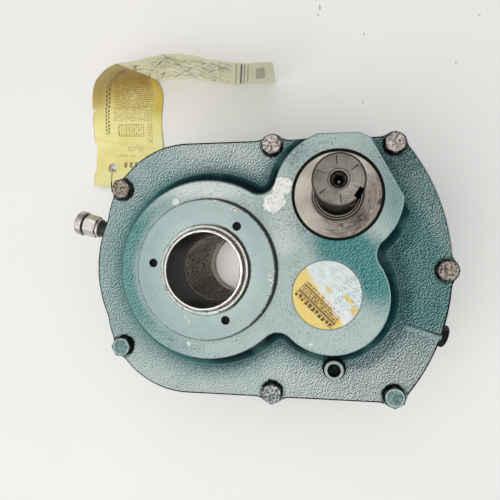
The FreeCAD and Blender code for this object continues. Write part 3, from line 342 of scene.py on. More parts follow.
    # sparse dark specks, thicker in patches
    patch = g.st(g.noise(0.045, 2, 0.5, off=(3, 50, 8)), 0.42, 0.68)
    speck = g.mul(g.mx(boss, g.mul(rim, 0.8)), g.st(fleck, g.lin(patch, 0, 1, 0.670, 0.605), g.lin(patch, 0, 1, 0.71, 0.65)))
    dirty = g.mx(g.blob(66, 34, 26, 18, 20, 0.9), g.mul(g.blob(-8, 61, 60, 9, 0, 0.8), 0.35), g.mul(g.blob(66, 82, 12, 26, 10, 0.9), 0.9), g.mul(g.blob(132, 78, 12, 26, 26, 0.9), 0.8))
    speck = g.mx(speck, g.mul(boss, dirty, g.st(fleck, 0.50, 0.58), 0.75))
    col = g.mix(g.mul(speck, 0.85), col, lin_rgb(34, 46, 45))
    # painted shadow and grime in black round the bolt heads and the plug, on the side towards the boss
    jag = g.add(0.35, g.mul(g.st(g.noise(0.55, 3, 0.7, off=(4, 1, 6)), 0.35, 0.68), 1.1))
    spots = [(x, y, 8.25, w) for (x, y), w in zip(BOLTS, (1.5, 2.2, 1.0, 1.7, 1.5, 1.7, 0.4))]
    if front:
        spots.append((94.6, -74.6, 8.2, 1.5))
    shadow_and_grime = None
    for bx, by, r0, wid in spots:
        dx, dy = g.sub(X, bx), g.sub(Y, by)
        r = g.f("SQRT", g.add(g.mul(dx, dx), g.mul(dy, dy)))
        ix, iy = 45.0 - bx, -by
        if (bx, by) == (94.6, -74.6):
            ix, iy = -0.35, 1.0
        q = math.hypot(ix, iy)
        c = g.f("DIVIDE", g.add(g.mul(dx, ix / q), g.mul(dy, iy / q)), g.mx(r, 0.01))
        lim = g.add(r0 - 0.1, g.mul(g.mx(0.0, c), jag, wid))
        m = g.st(r, g.add(lim, 0.5), g.sub(lim, 0.3))
        shadow_and_grime = m if shadow_and_grime is None else g.mx(shadow_and_grime, m)
    soot = g.mul(rim, g.blob(139, 88, 26, 26, 0, 0.9), g.st(fine, 0.36, 0.58), 0.75)
    col = g.mix(soot, col, lin_rgb(42, 46, 44))
    col = g.mix(g.mul(g.inv(boss), g.st(Z, 45.5, 46.5), shadow_and_grime), col, BLACK)
    # painted shade: the rim edge and the wall just below it are painted near black as a dark outline
    edge = g.mul(g.st(Z, 44.0, 46.0), g.inv(g.st(Z, 47.975, 47.9995)))
    face = None
    for bx, by in BOLTS:
        q = g.spot(bx, by, 9.2, 9.5)
        face = q if face is None else g.mx(face, q)
    edge = g.mul(edge, g.inv(face))
    col = g.mix(edge, col, lin_rgb(3, 8, 8))
    rub = g.mul(g.st(Z, 47.45, 47.60), g.st(Z, 47.92, 47.80), g.st(X, 128.0, 140.0), g.st(Y, -8.0, 14.0), g.st(mid, 0.30, 0.50, 0.35, 1.0))
    col = g.mix(g.mul(rub, 0.8), col, lin_rgb(188, 210, 206))
    # the low ridge beside the lower plug: painted highlight on its crest, painted shadow at its foot
    rl = g.add(g.mul(g.sub(X, 146.0), 0.3095), g.mul(g.add(Y, 40.6), 0.9509))
    rs = g.mul(rim, g.st(X, 144.0, 148.0), g.st(X, 173.0, 170.0))
    col = g.mix(g.mul(rs, g.st(g.f("ABSOLUTE", g.add(rl, 1.4)), 2.6, 0.8), g.st(fine, 0.35, 0.55, 0.15, 0.55)), col, lin_rgb(172, 196, 192))
    col = g.mix(g.mul(rs, g.st(g.f("ABSOLUTE", g.sub(rl, 1.5)), 1.1, 0.4), g.st(X, 152.0, 168.0, 0.25, 0.8)), col, lin_rgb(14, 36, 38))
    # painted highlight: a thin bright line along the rounded boss edge on the sides turned to +Y and +X, at the right;
    # painted shade on that edge at the left
    thin = g.mul(g.st(Z, 65.15, 65.45), g.inv(g.st(Z, 65.93, 65.985)))
    col = g.mix(g.mul(thin, g.st(X, 84.0, 112.0), g.st(away, -0.6, 0.2, 0.1, 1.0), g.st(mid, 0.30, 0.55, 0.25, 0.7)), col, lin_rgb(160, 194, 190))
    col = g.mix(g.mul(thin, g.st(X, 70.0, 40.0), g.st(away, -0.3, 0.4), 0.7), col, lin_rgb(20, 42, 44))

    if front:
        fl = g.mul(g.sub(g.noise(0.20, 4, 0.65, off=(2, 8, 4)), 0.5), 1.5)
        big_chip = g.mx(g.blob(57.4, 61.4, 7.0, 8.2, -20, 0.05, fl), g.blob(51.2, 49.6, 8.8, 7.6, 20, 0.05, fl))
        line = g.mx(g.blob(57.4, 61.4, 7.7, 8.9, -20, 0.05, fl), g.blob(51.2, 49.6, 9.5, 8.3, 20, 0.05, fl))
        small = g.mx(g.blob(-23.3, 50.6, 3.2, 3.0, 30, 0.3, g.mul(fl, 0.6)), g.blob(-13.6, -56.0, 1.4, 2.4, 20, 0.3, g.mul(fl, 0.5)))
        small = g.mx(small, g.blob(8.0, 55.0, 4.0, 1.4, 8, 0.3, fl), g.blob(78.0, -53.5, 2.2, 1.2, 0, 0.3, fl))
        chip_all = g.mul(boss, g.mx(big_chip, g.mul(small, 0.8)))
        col = g.mix(g.mul(boss, g.mx(g.blob(-2, 60, 46, 11, 0, 0.9), g.mul(g.blob(58, 26, 16, 26, 0, 0.9), 0.7)), 0.38), col, lin_rgb(228, 232, 224))
        col = g.mix(g.mul(line, boss, g.inv(big_chip), 0.45), col, lin_rgb(96, 112, 108))
        prim = g.mix(g.st(g.noise(0.45, 4, 0.65), 0.42, 0.66), CREAM, lin_rgb(204, 206, 202))
        col = g.mix(chip_all, col, prim)
        # painted shadow: black in the recess round the carrier, a dark line round the label, black under and round the
        # plate, wider on its right side
        lip = g.mul(g.spot(IN[0], IN[1], 32.9, 33.25), g.st(Z, 60.0, 62.0))
        col = g.mix(lip, col, lin_rgb(5, 5, 5))
        col = g.mix(g.mul(boss, g.st(lr, 25.9, 25.2), 0.55), col, lin_rgb(66, 92, 90))
        pr = g.dist(0, 0)
        plim = g.add(53.0, g.mul(g.st(g.add(X, g.mul(Y, 0.35)), 5.0, 50.0), 1.3))
        col = g.mix(g.mul(boss, g.st(pr, g.add(plim, 0.5), g.sub(plim, 0.1)), 0.92), col, BLACK)
    else:
        chip_all = g.st(g.noise(0.12, 4, 0.6, off=(9, 9, 9)), 0.74, 0.76)
        col = g.mix(chip_all, col, lin_rgb(104, 92, 82))
    # machined bores inside
    bore = g.mul(g.inv(up), g.mx(g.spot(0, 0, 52.3, 52.6), g.mx(g.spot(CT[0], CT[1], 26.2, 26.5), g.spot(IN[0], IN[1], 31.6, 31.9))))
    col = g.mix(bore, col, lin_rgb(118, 112, 104))

    rgh = g.add(0.40, g.mul(rough_amt, 0.10), g.mul(pale, 0.10), g.mul(chip_all, 0.2), g.mul(midn, 0.12))
    h = g.add(g.mul(grain, rough_amt), g.mul(fine, 0.05), g.mul(g.noise(1.6, 2, 0.5), 0.03), g.mul(chip_all, -0.25))
    h = g.add(h, g.mul(e0, emb_amt, 0.9))
    nb = g.bump(h, 1.0, 0.0012)
    return g.set(color=col, rough=rgh, normal=nb, spec=0.15)


# ------------------------------------------------------------------ metals and the rest
def plate_paint(name):
    g = G(name)
    X, Y = g.X, g.Y
    r = g.dist(0, 0)
    big = g.noise(0.03, 3, 0.55, off=(4, 4, 4))
    mid = g.noise(0.12, 3, 0.6, off=(8, 1, 6))
    fine = g.noise(0.9, 2, 0.5)
    pale = g.add(0.72, g.mul(g.sub(big, 0.5), 0.35), g.mul(g.sub(mid, 0.5), 0.25), g.st(g.add(X, g.mul(Y, 0.5)), -60.0, 40.0, -0.14, 0.06))
    col = g.mix(g.mn(1.0, g.mx(0.0, pale)), lin_rgb(92, 136, 135), lin_rgb(182, 196, 192))
    tint = g.mul(g.blob(28, 36, 16, 10, -40, 0.9), 0.5)
    col = g.mix(tint, col, lin_rgb(146, 166, 178))
    speck = g.st(g.noise(0.95, 2, 0.5, off=(41, 2, 2)), 0.685, 0.72)
    col = g.mix(g.mul(speck, 0.8), col, lin_rgb(44, 54, 53))
    # bare chips along the outer edge and round the hub
    c1 = g.noise(0.28, 4, 0.65, off=(2, 3, 9))
    fl = g.mul(g.sub(g.noise(0.3, 4, 0.65, off=(6, 1, 1)), 0.5), 1.6)
    outer = g.mul(g.st(r, 51.0, 52.2), g.st(c1, 0.54, 0.60))
    inner = g.mul(g.st(r, 35.4, 34.0), g.st(c1, 0.42, 0.50), g.st(X, 10.0, -18.0))
    blobs = g.mx(g.blob(9.0, 50.6, 3.4, 1.8, 10, 0.3, fl), g.blob(22.6, 44.6, 4.2, 2.0, -35, 0.3, fl), g.blob(49.4, -5.0, 2.0, 6.4, 4, 0.3, fl))
    blobs = g.mx(blobs, g.blob(-14.4, -35.4, 1.6, 2.2, 30, 0.3, g.mul(fl, 0.5)), g.blob(-11.8, -38.4, 1.2, 1.6, 10, 0.3, g.mul(fl, 0.5)))
    chip = g.mx(g.mul(outer, 0.85), inner, blobs)
    col = g.mix(chip, col, g.mix(g.st(fine, 0.40, 0.62), lin_rgb(224, 224, 217), lin_rgb(128, 124, 118)))
    # painted shade darkens the outer rim of the plate
    edge = g.mul(g.st(r, 51.5, 51.9), g.inv(chip))
    col = g.mix(g.mul(edge, 0.75), col, lin_rgb(60, 74, 73))
    ring_l = g.mul(g.st(r, 34.5, 34.1), g.st(c1, 0.34, 0.46))
    col = g.mix(g.mul(ring_l, 0.55), col, lin_rgb(70, 68, 64))
    # painted shadow in black in the gap round the ring, on the right side
    gap_shadow = g.mul(g.st(r, g.add(35.3, g.mul(g.sub(c1, 0.5), 1.6)), g.add(34.7, g.mul(g.sub(c1, 0.5), 1.6))), g.st(g.add(X, g.mul(Y, 0.12)), 6.0, 22.0))
    col = g.mix(g.mul(gap_shadow, 0.95), col, lin_rgb(10, 11, 11))
    # the sides of the plate are painted near black as shade
    side = g.inv(g.st(g.f("ABSOLUTE", g.nrm[2]), 0.2, 0.6))
    col = g.mix(side, col, lin_rgb(12, 15, 15))
    rgh = g.add(0.42, g.mul(mid, 0.12), g.mul(chip, -0.08))
    h = g.add(g.mul(mid, 0.35), g.mul(fine, 0.10), g.mul(chip, -0.4))
    return g.set(color=col, rough=rgh, normal=g.bump(h, 0.5, 0.0003), spec=0.22)


def steel(name, base, dark, rough=0.32, scale=0.5, rust=0.0, ring=None, metal=0.92, streak=None):
    """Bare steel: tone drift, fine machining marks, a little rust. ring=(x, y) gives turning marks round that axis."""
    g = G(name)
    a = g.noise(0.11 * scale * 2, 3, 0.6)
    b = g.noise(1.3 * scale * 2, 3, 0.6, off=(3, 3, 3))
    col = g.mix(g.st(a, 0.30, 0.72), base, dark)
    if ring is not None:
        r = g.dist(*ring)
        marks = g.noise(1.0, 3, 0.7, vec=g.vec(g.mul(r, 3.2), 0.0, g.mul(g.Z, 3.2)))
    else:
        marks = g.noise(1.0, 2, 0.6, stretch=streak or (0.35, 2.6, 2.6))
    col = g.mix(g.mul(g.st(marks, 0.42, 0.66), 0.35), col, dark)
    if rust > 0:
        rm = g.st(g.noise(0.55, 4, 0.65, off=(17, 1, 5)), 0.62 - 0.18 * rust, 0.74 - 0.14 * rust)
        col = g.mix(g.mul(rm, 0.85), col, g.mix(g.st(b, 0.35, 0.65), lin_rgb(92, 60, 42), lin_rgb(52, 38, 30)))
        met = g.lin(rm, 0, 1, metal, 0.15)
        rg = g.add(rough, g.mul(a, 0.14), g.mul(rm, 0.4))
    else:
        met = metal
        rg = g.add(rough, g.mul(a, 0.16), g.mul(g.sub(marks, 0.5), 0.12))
    return g.set(color=col, rough=rg, metal=met, normal=g.bump(g.add(marks, g.mul(b, 0.5)), 0.25, 0.00012))


def hub_steel(name):
    """Hub: bright turned ends, brown stained bore with tapered seats, the near seat painted dark as shade and the far
    seat pale as painted light, painted light and shade on the bore wall, painted shade round the nose edge and in the
    ring groove.
    """
    g = G(name)
    r = g.dist(0, 0)
    z = g.f("ABSOLUTE", g.Z)
    a = g.noise(0.07, 4, 0.6)
    b = g.noise(0.6, 4, 0.65, off=(5, 2, 8))
    turn = g.noise(1.0, 2, 0.6, vec=g.vec(g.mul(r, 2.5), 0.0, g.mul(g.Z, 1.6)))
    col = g.mix(g.st(turn, 0.35, 0.7), lin_rgb(206, 202, 195), lin_rgb(150, 146, 139))
    # painted shade along the outer edge of the nose end
    outer = g.mul(g.st(r, 28.75, 29.05), g.st(z, 75.0, 75.4))
    col = g.mix(g.mul(outer, g.st(b, 0.32, 0.62, 0.95, 0.55)), col, lin_rgb(64, 62, 59))
    inside = g.mul(g.st(r, 28.9, 28.5), g.st(z, 76.1, 75.4))
    far = g.st(g.Z, 10.0, -10.0)
    seat = g.mul(inside, g.st(g.sub(z, g.mul(far, 21.5)), 34.8, 36.0))
    middle = g.mul(inside, g.inv(seat))
    rust = g.mix(g.st(b, 0.40, 0.60), lin_rgb(240, 226, 206), lin_rgb(128, 114, 98))
    grit = g.noise(0.85, 3, 0.7, off=(2, 6, 3), stretch=(0.7, 0.7, 0.22))
    rust = g.mix(g.mul(g.st(grit, 0.53, 0.59), 0.78), rust, lin_rgb(30, 26, 23))
    # painted shade darkens the bore wall towards -Y, painted light brightens it towards +Y
    rust = g.mix(g.st(g.Y, 6.0, -22.0, 0.0, 0.62), rust, lin_rgb(58, 49, 42))
    rust = g.mix(g.st(g.add(g.Y, g.mul(g.Z, 0.2)), 8.0, 24.0, 0.0, 0.45), rust, lin_rgb(214, 208, 198))
    rust = g.mix(g.st(g.noise(0.25, 4, 0.7, off=(1, 1, 7), stretch=(1.0, 1.0, 0.35)), 0.55, 0.70), rust, lin_rgb(52, 44, 38))
    worm = g.st(g.f("ABSOLUTE", g.sub(g.noise(0.16, 2, 0.5, dist=1.2, off=(3, 8, 5), stretch=(1.0, 1.0, 0.45)), 0.5)), 0.026, 0.010)
    rust = g.mix(g.mul(worm, g.st(g.Y, -20.0, 4.0, 0.3, 0.95)), rust, lin_rgb(250, 244, 232))
    # painted highlight along the edge of the near seat
    seat_edge_highlight = g.mul(g.st(g.Z, 33.2, 34.2), g.st(g.Z, 36.2, 35.2))
    rust = g.mix(g.mul(seat_edge_highlight, 0.7), rust, lin_rgb(190, 182, 170))
    # the near seat is painted near black as shade, the far seat pale as painted light
    seat_c = g.mix(g.st(a, 0.3, 0.7), lin_rgb(30, 29, 30), lin_rgb(14, 14, 14))
    seat_c = g.mix(far, seat_c, lin_rgb(206, 200, 187))
    col = g.mix(seat, col, seat_c)
    col = g.mix(middle, col, rust)
    nick = g.mul(g.st(z, 75.2, 75.8), g.st(g.noise(0.5, 4, 0.7, off=(6, 6, 2)), 0.62, 0.68))
    col = g.mix(g.mul(nick, 0.7), col, lin_rgb(84, 76, 68))
    # painted shadow below the nose end, round the ring groove
    groove_shadow = g.mul(g.st(z, 76.2, 75.6), g.st(r, 29.0, 30.2))
    col = g.mix(g.mul(groove_shadow, 0.5), col, lin_rgb(60, 58, 55))
    low = g.mul(seat, far)
    met = g.lin(g.mx(middle, seat), 0, 1, 0.9, 0.05)
    rg = g.add(g.lin(middle, 0, 1, 0.26, 0.62), g.mul(a, 0.12))
    h = g.add(g.mul(b, g.lin(middle, 0, 1, 0.05, 0.8)), g.mul(turn, 0.15))
    return g.set(color=col, rough=rg, metal=met, normal=g.bump(h, 0.5, 0.0003), spec=0.12)


def ring_steel(name):
    """Retaining ring: over-painted on the side turned to -X, bare on the other, with painted shadow in its groove and
    along its bare outer edge.
    """
    g = G(name)
    r = g.dist(0, 0)
    a = g.noise(0.14, 3, 0.6, off=(2, 5, 5))
    b = g.noise(0.5, 4, 0.65, off=(7, 5, 1))
    turn = g.noise(1.0, 3, 0.7, vec=g.vec(g.mul(r, 3.2), 0.0, g.mul(g.Z, 3.2)))
    bare = g.mix(g.st(turn, 0.36, 0.66), lin_rgb(196, 192, 184), lin_rgb(104, 100, 95))
    paint = g.mix(g.st(a, 0.35, 0.65), lin_rgb(164, 184, 180), lin_rgb(196, 206, 201))
    on = g.mul(g.st(g.add(g.X, g.mul(g.Y, 0.25), g.mul(g.sub(b, 0.5), 26.0)), 12.0, -6.0), g.st(b, 0.60, 0.54))
    col = g.mix(on, bare, paint)
    col = g.mix(g.mul(g.st(b, 0.60, 0.66), 0.8), col, lin_rgb(58, 52, 48))
    # painted shadow in the groove and along the bare outer edge
    groove_shadow = g.st(r, 31.5, 31.0)
    col = g.mix(g.mul(groove_shadow, g.lin(on, 0, 1, 0.95, 0.55)), col, lin_rgb(22, 21, 20))
    dark_rim_shade = g.mul(g.st(r, 32.75, 33.05), g.inv(g.mul(on, 0.75)))
    col = g.mix(g.mul(dark_rim_shade, 0.9), col, lin_rgb(16, 16, 15))
    return g.set(color=col, rough=g.add(0.34, g.mul(a, 0.16)), metal=g.lin(g.mx(on, groove_shadow, dark_rim_shade), 0, 1, 0.85, 0.05), normal=g.bump(turn, 0.25, 0.00012))


def shaft_steel(name):
    """Shaft end: dull turned steel, the side painted dark as shade with painted light high up, dark cut marks, painted
    shade in the keyway and the centre hole, painted glints in the hole.
    """
    g = G(name)
    dx, dy = g.sub(g.X, IN[0]), g.sub(g.Y, IN[1])
    r = g.dist(*IN)
    a = g.noise(0.12, 4, 0.6)
    b = g.noise(0.8, 3, 0.6, off=(2, 9, 4))
    turn = g.noise(1.0, 3, 0.7, vec=g.vec(g.mul(r, 2.2), 0.0, g.mul(g.Z, 1.3)))
    col = g.mix(g.st(a, 0.3, 0.7), lin_rgb(146, 139, 132), lin_rgb(106, 100, 94))
    col = g.mix(g.st(g.add(g.mul(dx, -0.75), g.mul(dy, 0.65)), -8.0, 14.0, 0.0, 0.55), col, lin_rgb(84, 78, 74))
    col = g.mix(g.mul(g.st(turn, 0.45, 0.7), 0.30), col, lin_rgb(96, 90, 83))
    side = g.inv(g.st(g.nrm[2], 0.3, 0.8))
    bands = g.noise(1.0, 3, 0.65, vec=g.vec(0.0, 0.0, g.mul(g.Z, 0.16)))
    sidec = g.mix(g.st(bands, 0.40, 0.62), lin_rgb(74, 70, 65), lin_rgb(13, 12, 11))
    ang = g.f("ARCTAN2", dy, dx)
    # painted light in pale streaks high up the side, painted shade darkening it towards the foot
    strk = g.st(g.noise(1.0, 3, 0.6, vec=g.vec(g.mul(ang, 4.2), g.mul(g.Z, 0.03), 3.0)), 0.54, 0.66)
    sidec = g.mix(g.mul(strk, g.st(g.Z, 92.0, 120.0), 0.7), sidec, lin_rgb(150, 142, 132))
    sidec = g.mix(g.st(g.Z, 142.0, 100.0, 0.0, 0.82), sidec, lin_rgb(8, 8, 7))
    sidec = g.mix(g.mul(g.st(g.Z, 68.0, 67.2), g.st(g.Z, 64.8, 65.6)), sidec, lin_rgb(186, 180, 170))
    col = g.mix(side, col, sidec)
    # scratches and stains on the end face
    sc = g.mul(g.inv(side), g.st(g.noise(0.5, 3, 0.6, stretch=(0.25, 2.2, 1.0), off=(9, 3, 3)), 0.63, 0.68))
    col = g.mix(g.mul(sc, 0.35), col, lin_rgb(196, 190, 181))
    st = g.st(g.noise(0.32, 4, 0.65, off=(12, 3, 5)), 0.60, 0.70)
    col = g.mix(g.mul(st, 0.5), col, lin_rgb(84, 76, 70))
    top = g.st(g.Z, 147.0, 147.6)
    # painted shade darkens the rim of the end, most on one side
    dark_rim_shade = g.mul(g.st(r, 14.2, 14.6), g.st(g.Z, 146.0, 146.6), g.st(g.add(g.mul(dx, 0.8), g.mul(dy, 0.6)), -14.0, 4.0, 0.6, 1.0))
    col = g.mix(g.mul(dark_rim_shade, 0.95), col, lin_rgb(22, 20, 19))
    # the marks cut into the end are painted dark; the keyway is painted black as shade
    deep = g.mul(top, g.inv(g.st(g.Z, 147.62, 147.9)))
    line = g.f("ABSOLUTE", g.add(g.mul(dx, -math.sin(math.radians(156))), g.mul(dy, math.cos(math.radians(156)))))
    deep = g.mul(deep, g.st(line, 1.0, 0.8, 1.0, 0.35), g.st(r, 14.2, 13.9))
    col = g.mix(deep, col, lin_rgb(18, 17, 16))
    kx = g.add(g.mul(dx, math.cos(math.radians(-34.5))), g.mul(dy, math.sin(math.radians(-34.5))))
    ky = g.f("ABSOLUTE", g.add(g.mul(dx, -math.sin(math.radians(-34.5))), g.mul(dy, math.cos(math.radians(-34.5)))))
    key = g.mul(g.st(kx, 11.5, 11.8), g.st(ky, 3.24, 3.19), g.st(g.Z, 108.6, 109.4), g.st(g.Z, 147.98, 147.7), g.st(r, 15.06, 14.98))
    col = g.mix(key, col, lin_rgb(8, 7, 7))
    # centre hole: bright lip, the cone painted brown-black as shade, painted glints in rings and a painted glint at the
    # bottom
    cen = g.mul(g.st(r, 5.95, 5.75), g.st(g.Z, 100.0, 101.0))
    hole_shade_and_glints = g.mix(g.st(r, 2.0, 5.0), lin_rgb(16, 14, 12), lin_rgb(50, 43, 38))
    glint_arcs = g.mul(g.st(g.f("ABSOLUTE", g.sub(r, 3.5)), 0.75, 0.25), g.st(g.noise(1.0, 2, 0.6, vec=g.vec(g.mul(g.f("ARCTAN2", dy, dx), 2.2), 1.0, 0.0)), 0.42, 0.60))
    hole_shade_and_glints = g.mix(g.mul(glint_arcs, 0.7), hole_shade_and_glints, lin_rgb(104, 97, 88))
    hole_shade_and_glints = g.mix(g.st(g.dist(IN[0] + 0.2, IN[1] - 0.2), 0.95, 0.55), hole_shade_and_glints, lin_rgb(240, 234, 222))
    col = g.mix(g.mul(cen, g.st(g.Z, 147.95, 147.2)), col, hole_shade_and_glints)
    lip = g.mul(g.st(r, 4.9, 5.2), g.st(r, 5.75, 5.55), g.st(g.Z, 146.5, 147.0))
    col = g.mix(g.mul(lip, 0.7), col, lin_rgb(204, 198, 188))
    ringm = g.mul(g.st(r, 5.55, 5.75), g.st(r, 6.35, 6.1), top)
    col = g.mix(g.mul(ringm, 0.7), col, lin_rgb(48, 44, 40))
    black = g.mx(deep, key, g.mul(cen, g.st(r, 4.9, 4.6)))
    return g.set(color=col, rough=g.add(0.36, g.mul(a, 0.14), g.mul(black, 0.3)), metal=g.lin(g.mx(black, side), 0, 1, 0.8, 0.0),
                 normal=g.bump(g.add(turn, g.mul(b, 0.4)), 0.3, 0.00015), spec=0.0)


def carrier_steel(name):
    """Turned carrier face: warm grey, fine concentric marks, brown stain, painted shade and scuffs at the lower right,
    painted shadow round the shaft foot and round the outer edge.
    """
    g = G(name)
    dx, dy = g.sub(g.X, IN[0]), g.sub(g.Y, IN[1])
    r = g.dist(*IN)
    a = g.noise(0.06, 3, 0.55)
    ang = g.f("ARCTAN2", dy, dx)
    turn = g.noise(1.0, 4, 0.75, vec=g.vec(g.mul(r, 2.4), g.mul(ang, 0.9), 0.0))
    col = g.mix(g.st(a, 0.3, 0.7), lin_rgb(182, 176, 165), lin_rgb(158, 150, 140))
    # darker towards the lower right: part painted shade, part brown stain
    shade_and_stain = g.st(g.add(g.mul(dx, 0.80), g.mul(dy, -0.60), g.mul(g.sub(a, 0.5), 20.0)), -6.0, 22.0)
    col = g.mix(g.mul(shade_and_stain, 0.62), col, lin_rgb(112, 98, 88))
    col = g.mix(g.mul(g.st(turn, 0.42, 0.68), g.lin(shade_and_stain, 0, 1, 0.28, 0.75)), col, lin_rgb(92, 82, 74))
    scr = g.st(g.noise(0.35, 3, 0.6, stretch=(2.4, 0.3, 1.0), off=(4, 4, 1)), 0.66, 0.70)
    col = g.mix(g.mul(scr, 0.4), col, lin_rgb(226, 221, 210))
    stain = g.mul(shade_and_stain, g.st(g.noise(1.0, 3, 0.65, vec=g.vec(g.mul(r, 0.55), g.mul(ang, 3.2), 2.0)), 0.52, 0.64))
    col = g.mix(g.mul(stain, 0.85), col, lin_rgb(44, 38, 35))
    # painted shadow and smudge beside the shaft foot, at its lower right
    smudge = g.mul(g.blob(IN[0] + 15.0, IN[1] - 17.0, 13.0, 8.0, 38, 0.9), g.lin(turn, 0.35, 0.65, 0.55, 1.0))
    col = g.mix(g.mul(smudge, 0.85), col, lin_rgb(40, 35, 33))
    bright = g.mul(shade_and_stain, g.st(g.noise(1.0, 3, 0.7, vec=g.vec(g.mul(r, 1.9), g.mul(ang, 5.0), 7.0)), 0.60, 0.66))
    col = g.mix(g.mul(bright, 0.6), col, lin_rgb(232, 226, 216))
    # painted shadow and dirt in black round the shaft foot, strongest below it
    inn = g.mul(g.st(r, 20.0, 17.8), g.st(g.add(g.mul(dx, 0.2), g.mul(dy, -1.0)), -16.0, 4.0, 0.5, 1.0))
    col = g.mix(g.mul(inn, 0.95), col, lin_rgb(14, 13, 12))
    # painted shadow in black round the outer edge
    col = g.mix(g.st(r, 30.8, 31.1), col, lin_rgb(6, 6, 6))
    seam = g.mul(g.st(r, 16.6, 16.8), g.st(r, 17.5, 17.3))
    col = g.mix(g.mul(seam, 0.8), col, lin_rgb(196, 190, 180))
    rgh = g.add(0.30, g.mul(a, 0.12), g.mul(g.sub(turn, 0.5), 0.15))
    return g.set(color=col, rough=rgh, metal=g.lin(g.mx(inn, g.st(r, 30.5, 30.9)), 0, 1, 0.75, 0.0), normal=g.bump(turn, 0.3, 0.0001), spec=0.15)


def bolt_steel(name):
    """Seven bolts, each with its own history: bare, rusted or over-painted."""
    g = G(name)
    a = g.noise(0.30, 4, 0.65)
    b = g.noise(0.55, 3, 0.6, off=(2, 2, 2))
    bare = g.mix(g.st(a, 0.35, 0.65), lin_rgb(208, 199, 190), lin_rgb(152, 142, 133))
    rust = g.st(g.noise(0.5, 4, 0.65, off=(8, 3, 1)), 0.52, 0.57)
    bare = g.mix(g.mul(rust, 0.72), bare, lin_rgb(72, 58, 52))
    paint = g.mix(g.st(a, 0.40, 0.60), lin_rgb(90, 122, 120), lin_rgb(136, 162, 159))
    paint = g.mix(g.mul(g.st(b, 0.54, 0.64), 0.7), paint, lin_rgb(34, 58, 58))
    brown = g.mix(g.st(b, 0.42, 0.60), lin_rgb(168, 157, 145), lin_rgb(90, 78, 70))
    grey = g.mix(g.st(b, 0.42, 0.58), lin_rgb(184, 190, 186), lin_rgb(76, 84, 82))
    kind = [brown, paint, bare, grey, bare, paint, brown]
    col = bare
    for (x, y), k in zip(BOLTS, kind):
        if k is bare:
            continue
        col = g.mix(g.spot(x, y, 14.0, 15.0), col, k)
    pm = None
    for i in (1, 3, 5):
        q = g.spot(BOLTS[i][0], BOLTS[i][1], 14.0, 15.0)
        pm = q if pm is None else g.mx(pm, q)
    # rubbed top; the hex corners, the chamfer and the flats are painted near black as shade
    dots = g.st(g.noise(0.48, 3, 0.6, off=(5, 8, 2)), 0.57, 0.61)
    col = g.mix(g.mul(dots, g.lin(pm, 0, 1, 0.72, 0.35)), col, lin_rgb(40, 35, 33))
    rr = None
    for i in (1, 5):
        d = g.dist(*BOLTS[i])
        q = g.mul(g.st(d, 5.7, 6.0), g.st(d, 6.8, 6.5))
        rr = q if rr is None else g.mx(rr, q)
    col = g.mix(g.mul(rr, 0.65), col, lin_rgb(190, 208, 204))
    corner_shade = None
    for x, y in BOLTS:
        q = g.mul(g.st(g.dist(x, y), 6.75, 7.15), g.spot(x, y, 14.0, 15.0))
        corner_shade = q if corner_shade is None else g.mx(corner_shade, q)
    col = g.mix(g.mul(corner_shade, 0.80), col, lin_rgb(28, 30, 29))
    low = g.st(g.Z, 52.1, 51.7)
    col = g.mix(g.mul(low, g.lin(g.spot(175.4, 0.0, 14.0, 15.0), 0, 1, 0.92, 0.7)), col, lin_rgb(22, 23, 22))
    chamfer_shade = g.mul(g.st(g.Z, 52.76, 52.66), g.st(g.Z, 52.4, 52.6))
    col = g.mix(g.mul(chamfer_shade, 0.5), col, lin_rgb(34, 32, 30))
    hi = g.st(g.Z, 52.86, 53.0)
    col = g.mix(g.mul(hi, 0.6), col, lin_rgb(72, 66, 62))
    return g.set(color=col, rough=g.add(0.36, g.mul(b, 0.2)), metal=g.lin(g.mx(pm, rust, low, corner_shade), 0, 1, 0.55, 0.0), normal=g.bump(g.add(a, b), 0.5, 0.0003), spec=0.2)


def wire_steel(name):
    """Tag wire: grey where it hangs, painted near black as shade in the loop round the bolt."""
    g = G(name)
    a = g.noise(0.35, 2, 0.6)
    col = g.mix(a, lin_rgb(176, 166, 146), lin_rgb(120, 110, 94))
    loop_shade = g.st(g.dist(*BOLTS[0]), 15.0, 11.0)
    col = g.mix(g.mul(loop_shade, 0.95), col, lin_rgb(22, 21, 20))
    return g.set(color=col, rough=0.42, metal=g.lin(loop_shade, 0, 1, 0.9, 0.0), normal=g.bump(a, 0.2, 0.0001), spec=0.2)


def rubber(name):
    g = G(name)
    a = g.noise(0.4, 3, 0.6)
    col = g.mix(a, lin_rgb(14, 14, 14), lin_rgb(34, 33, 32))
    return g.set(color=col, rough=g.lin(a, 0, 1, 0.42, 0.62), normal=g.bump(g.noise(2.0, 2, 0.5), 0.2, 0.0001), spec=0.12)


def gasket(name):
    g = G(name)
    a = g.noise(0.5, 3, 0.6)
    col = g.mix(a, lin_rgb(30, 27, 24), lin_rgb(66, 58, 50))
    return g.set(color=col, rough=g.lin(a, 0, 1, 0.7, 0.9), normal=g.bump(g.noise(1.5, 2, 0.5), 0.3, 0.0002))


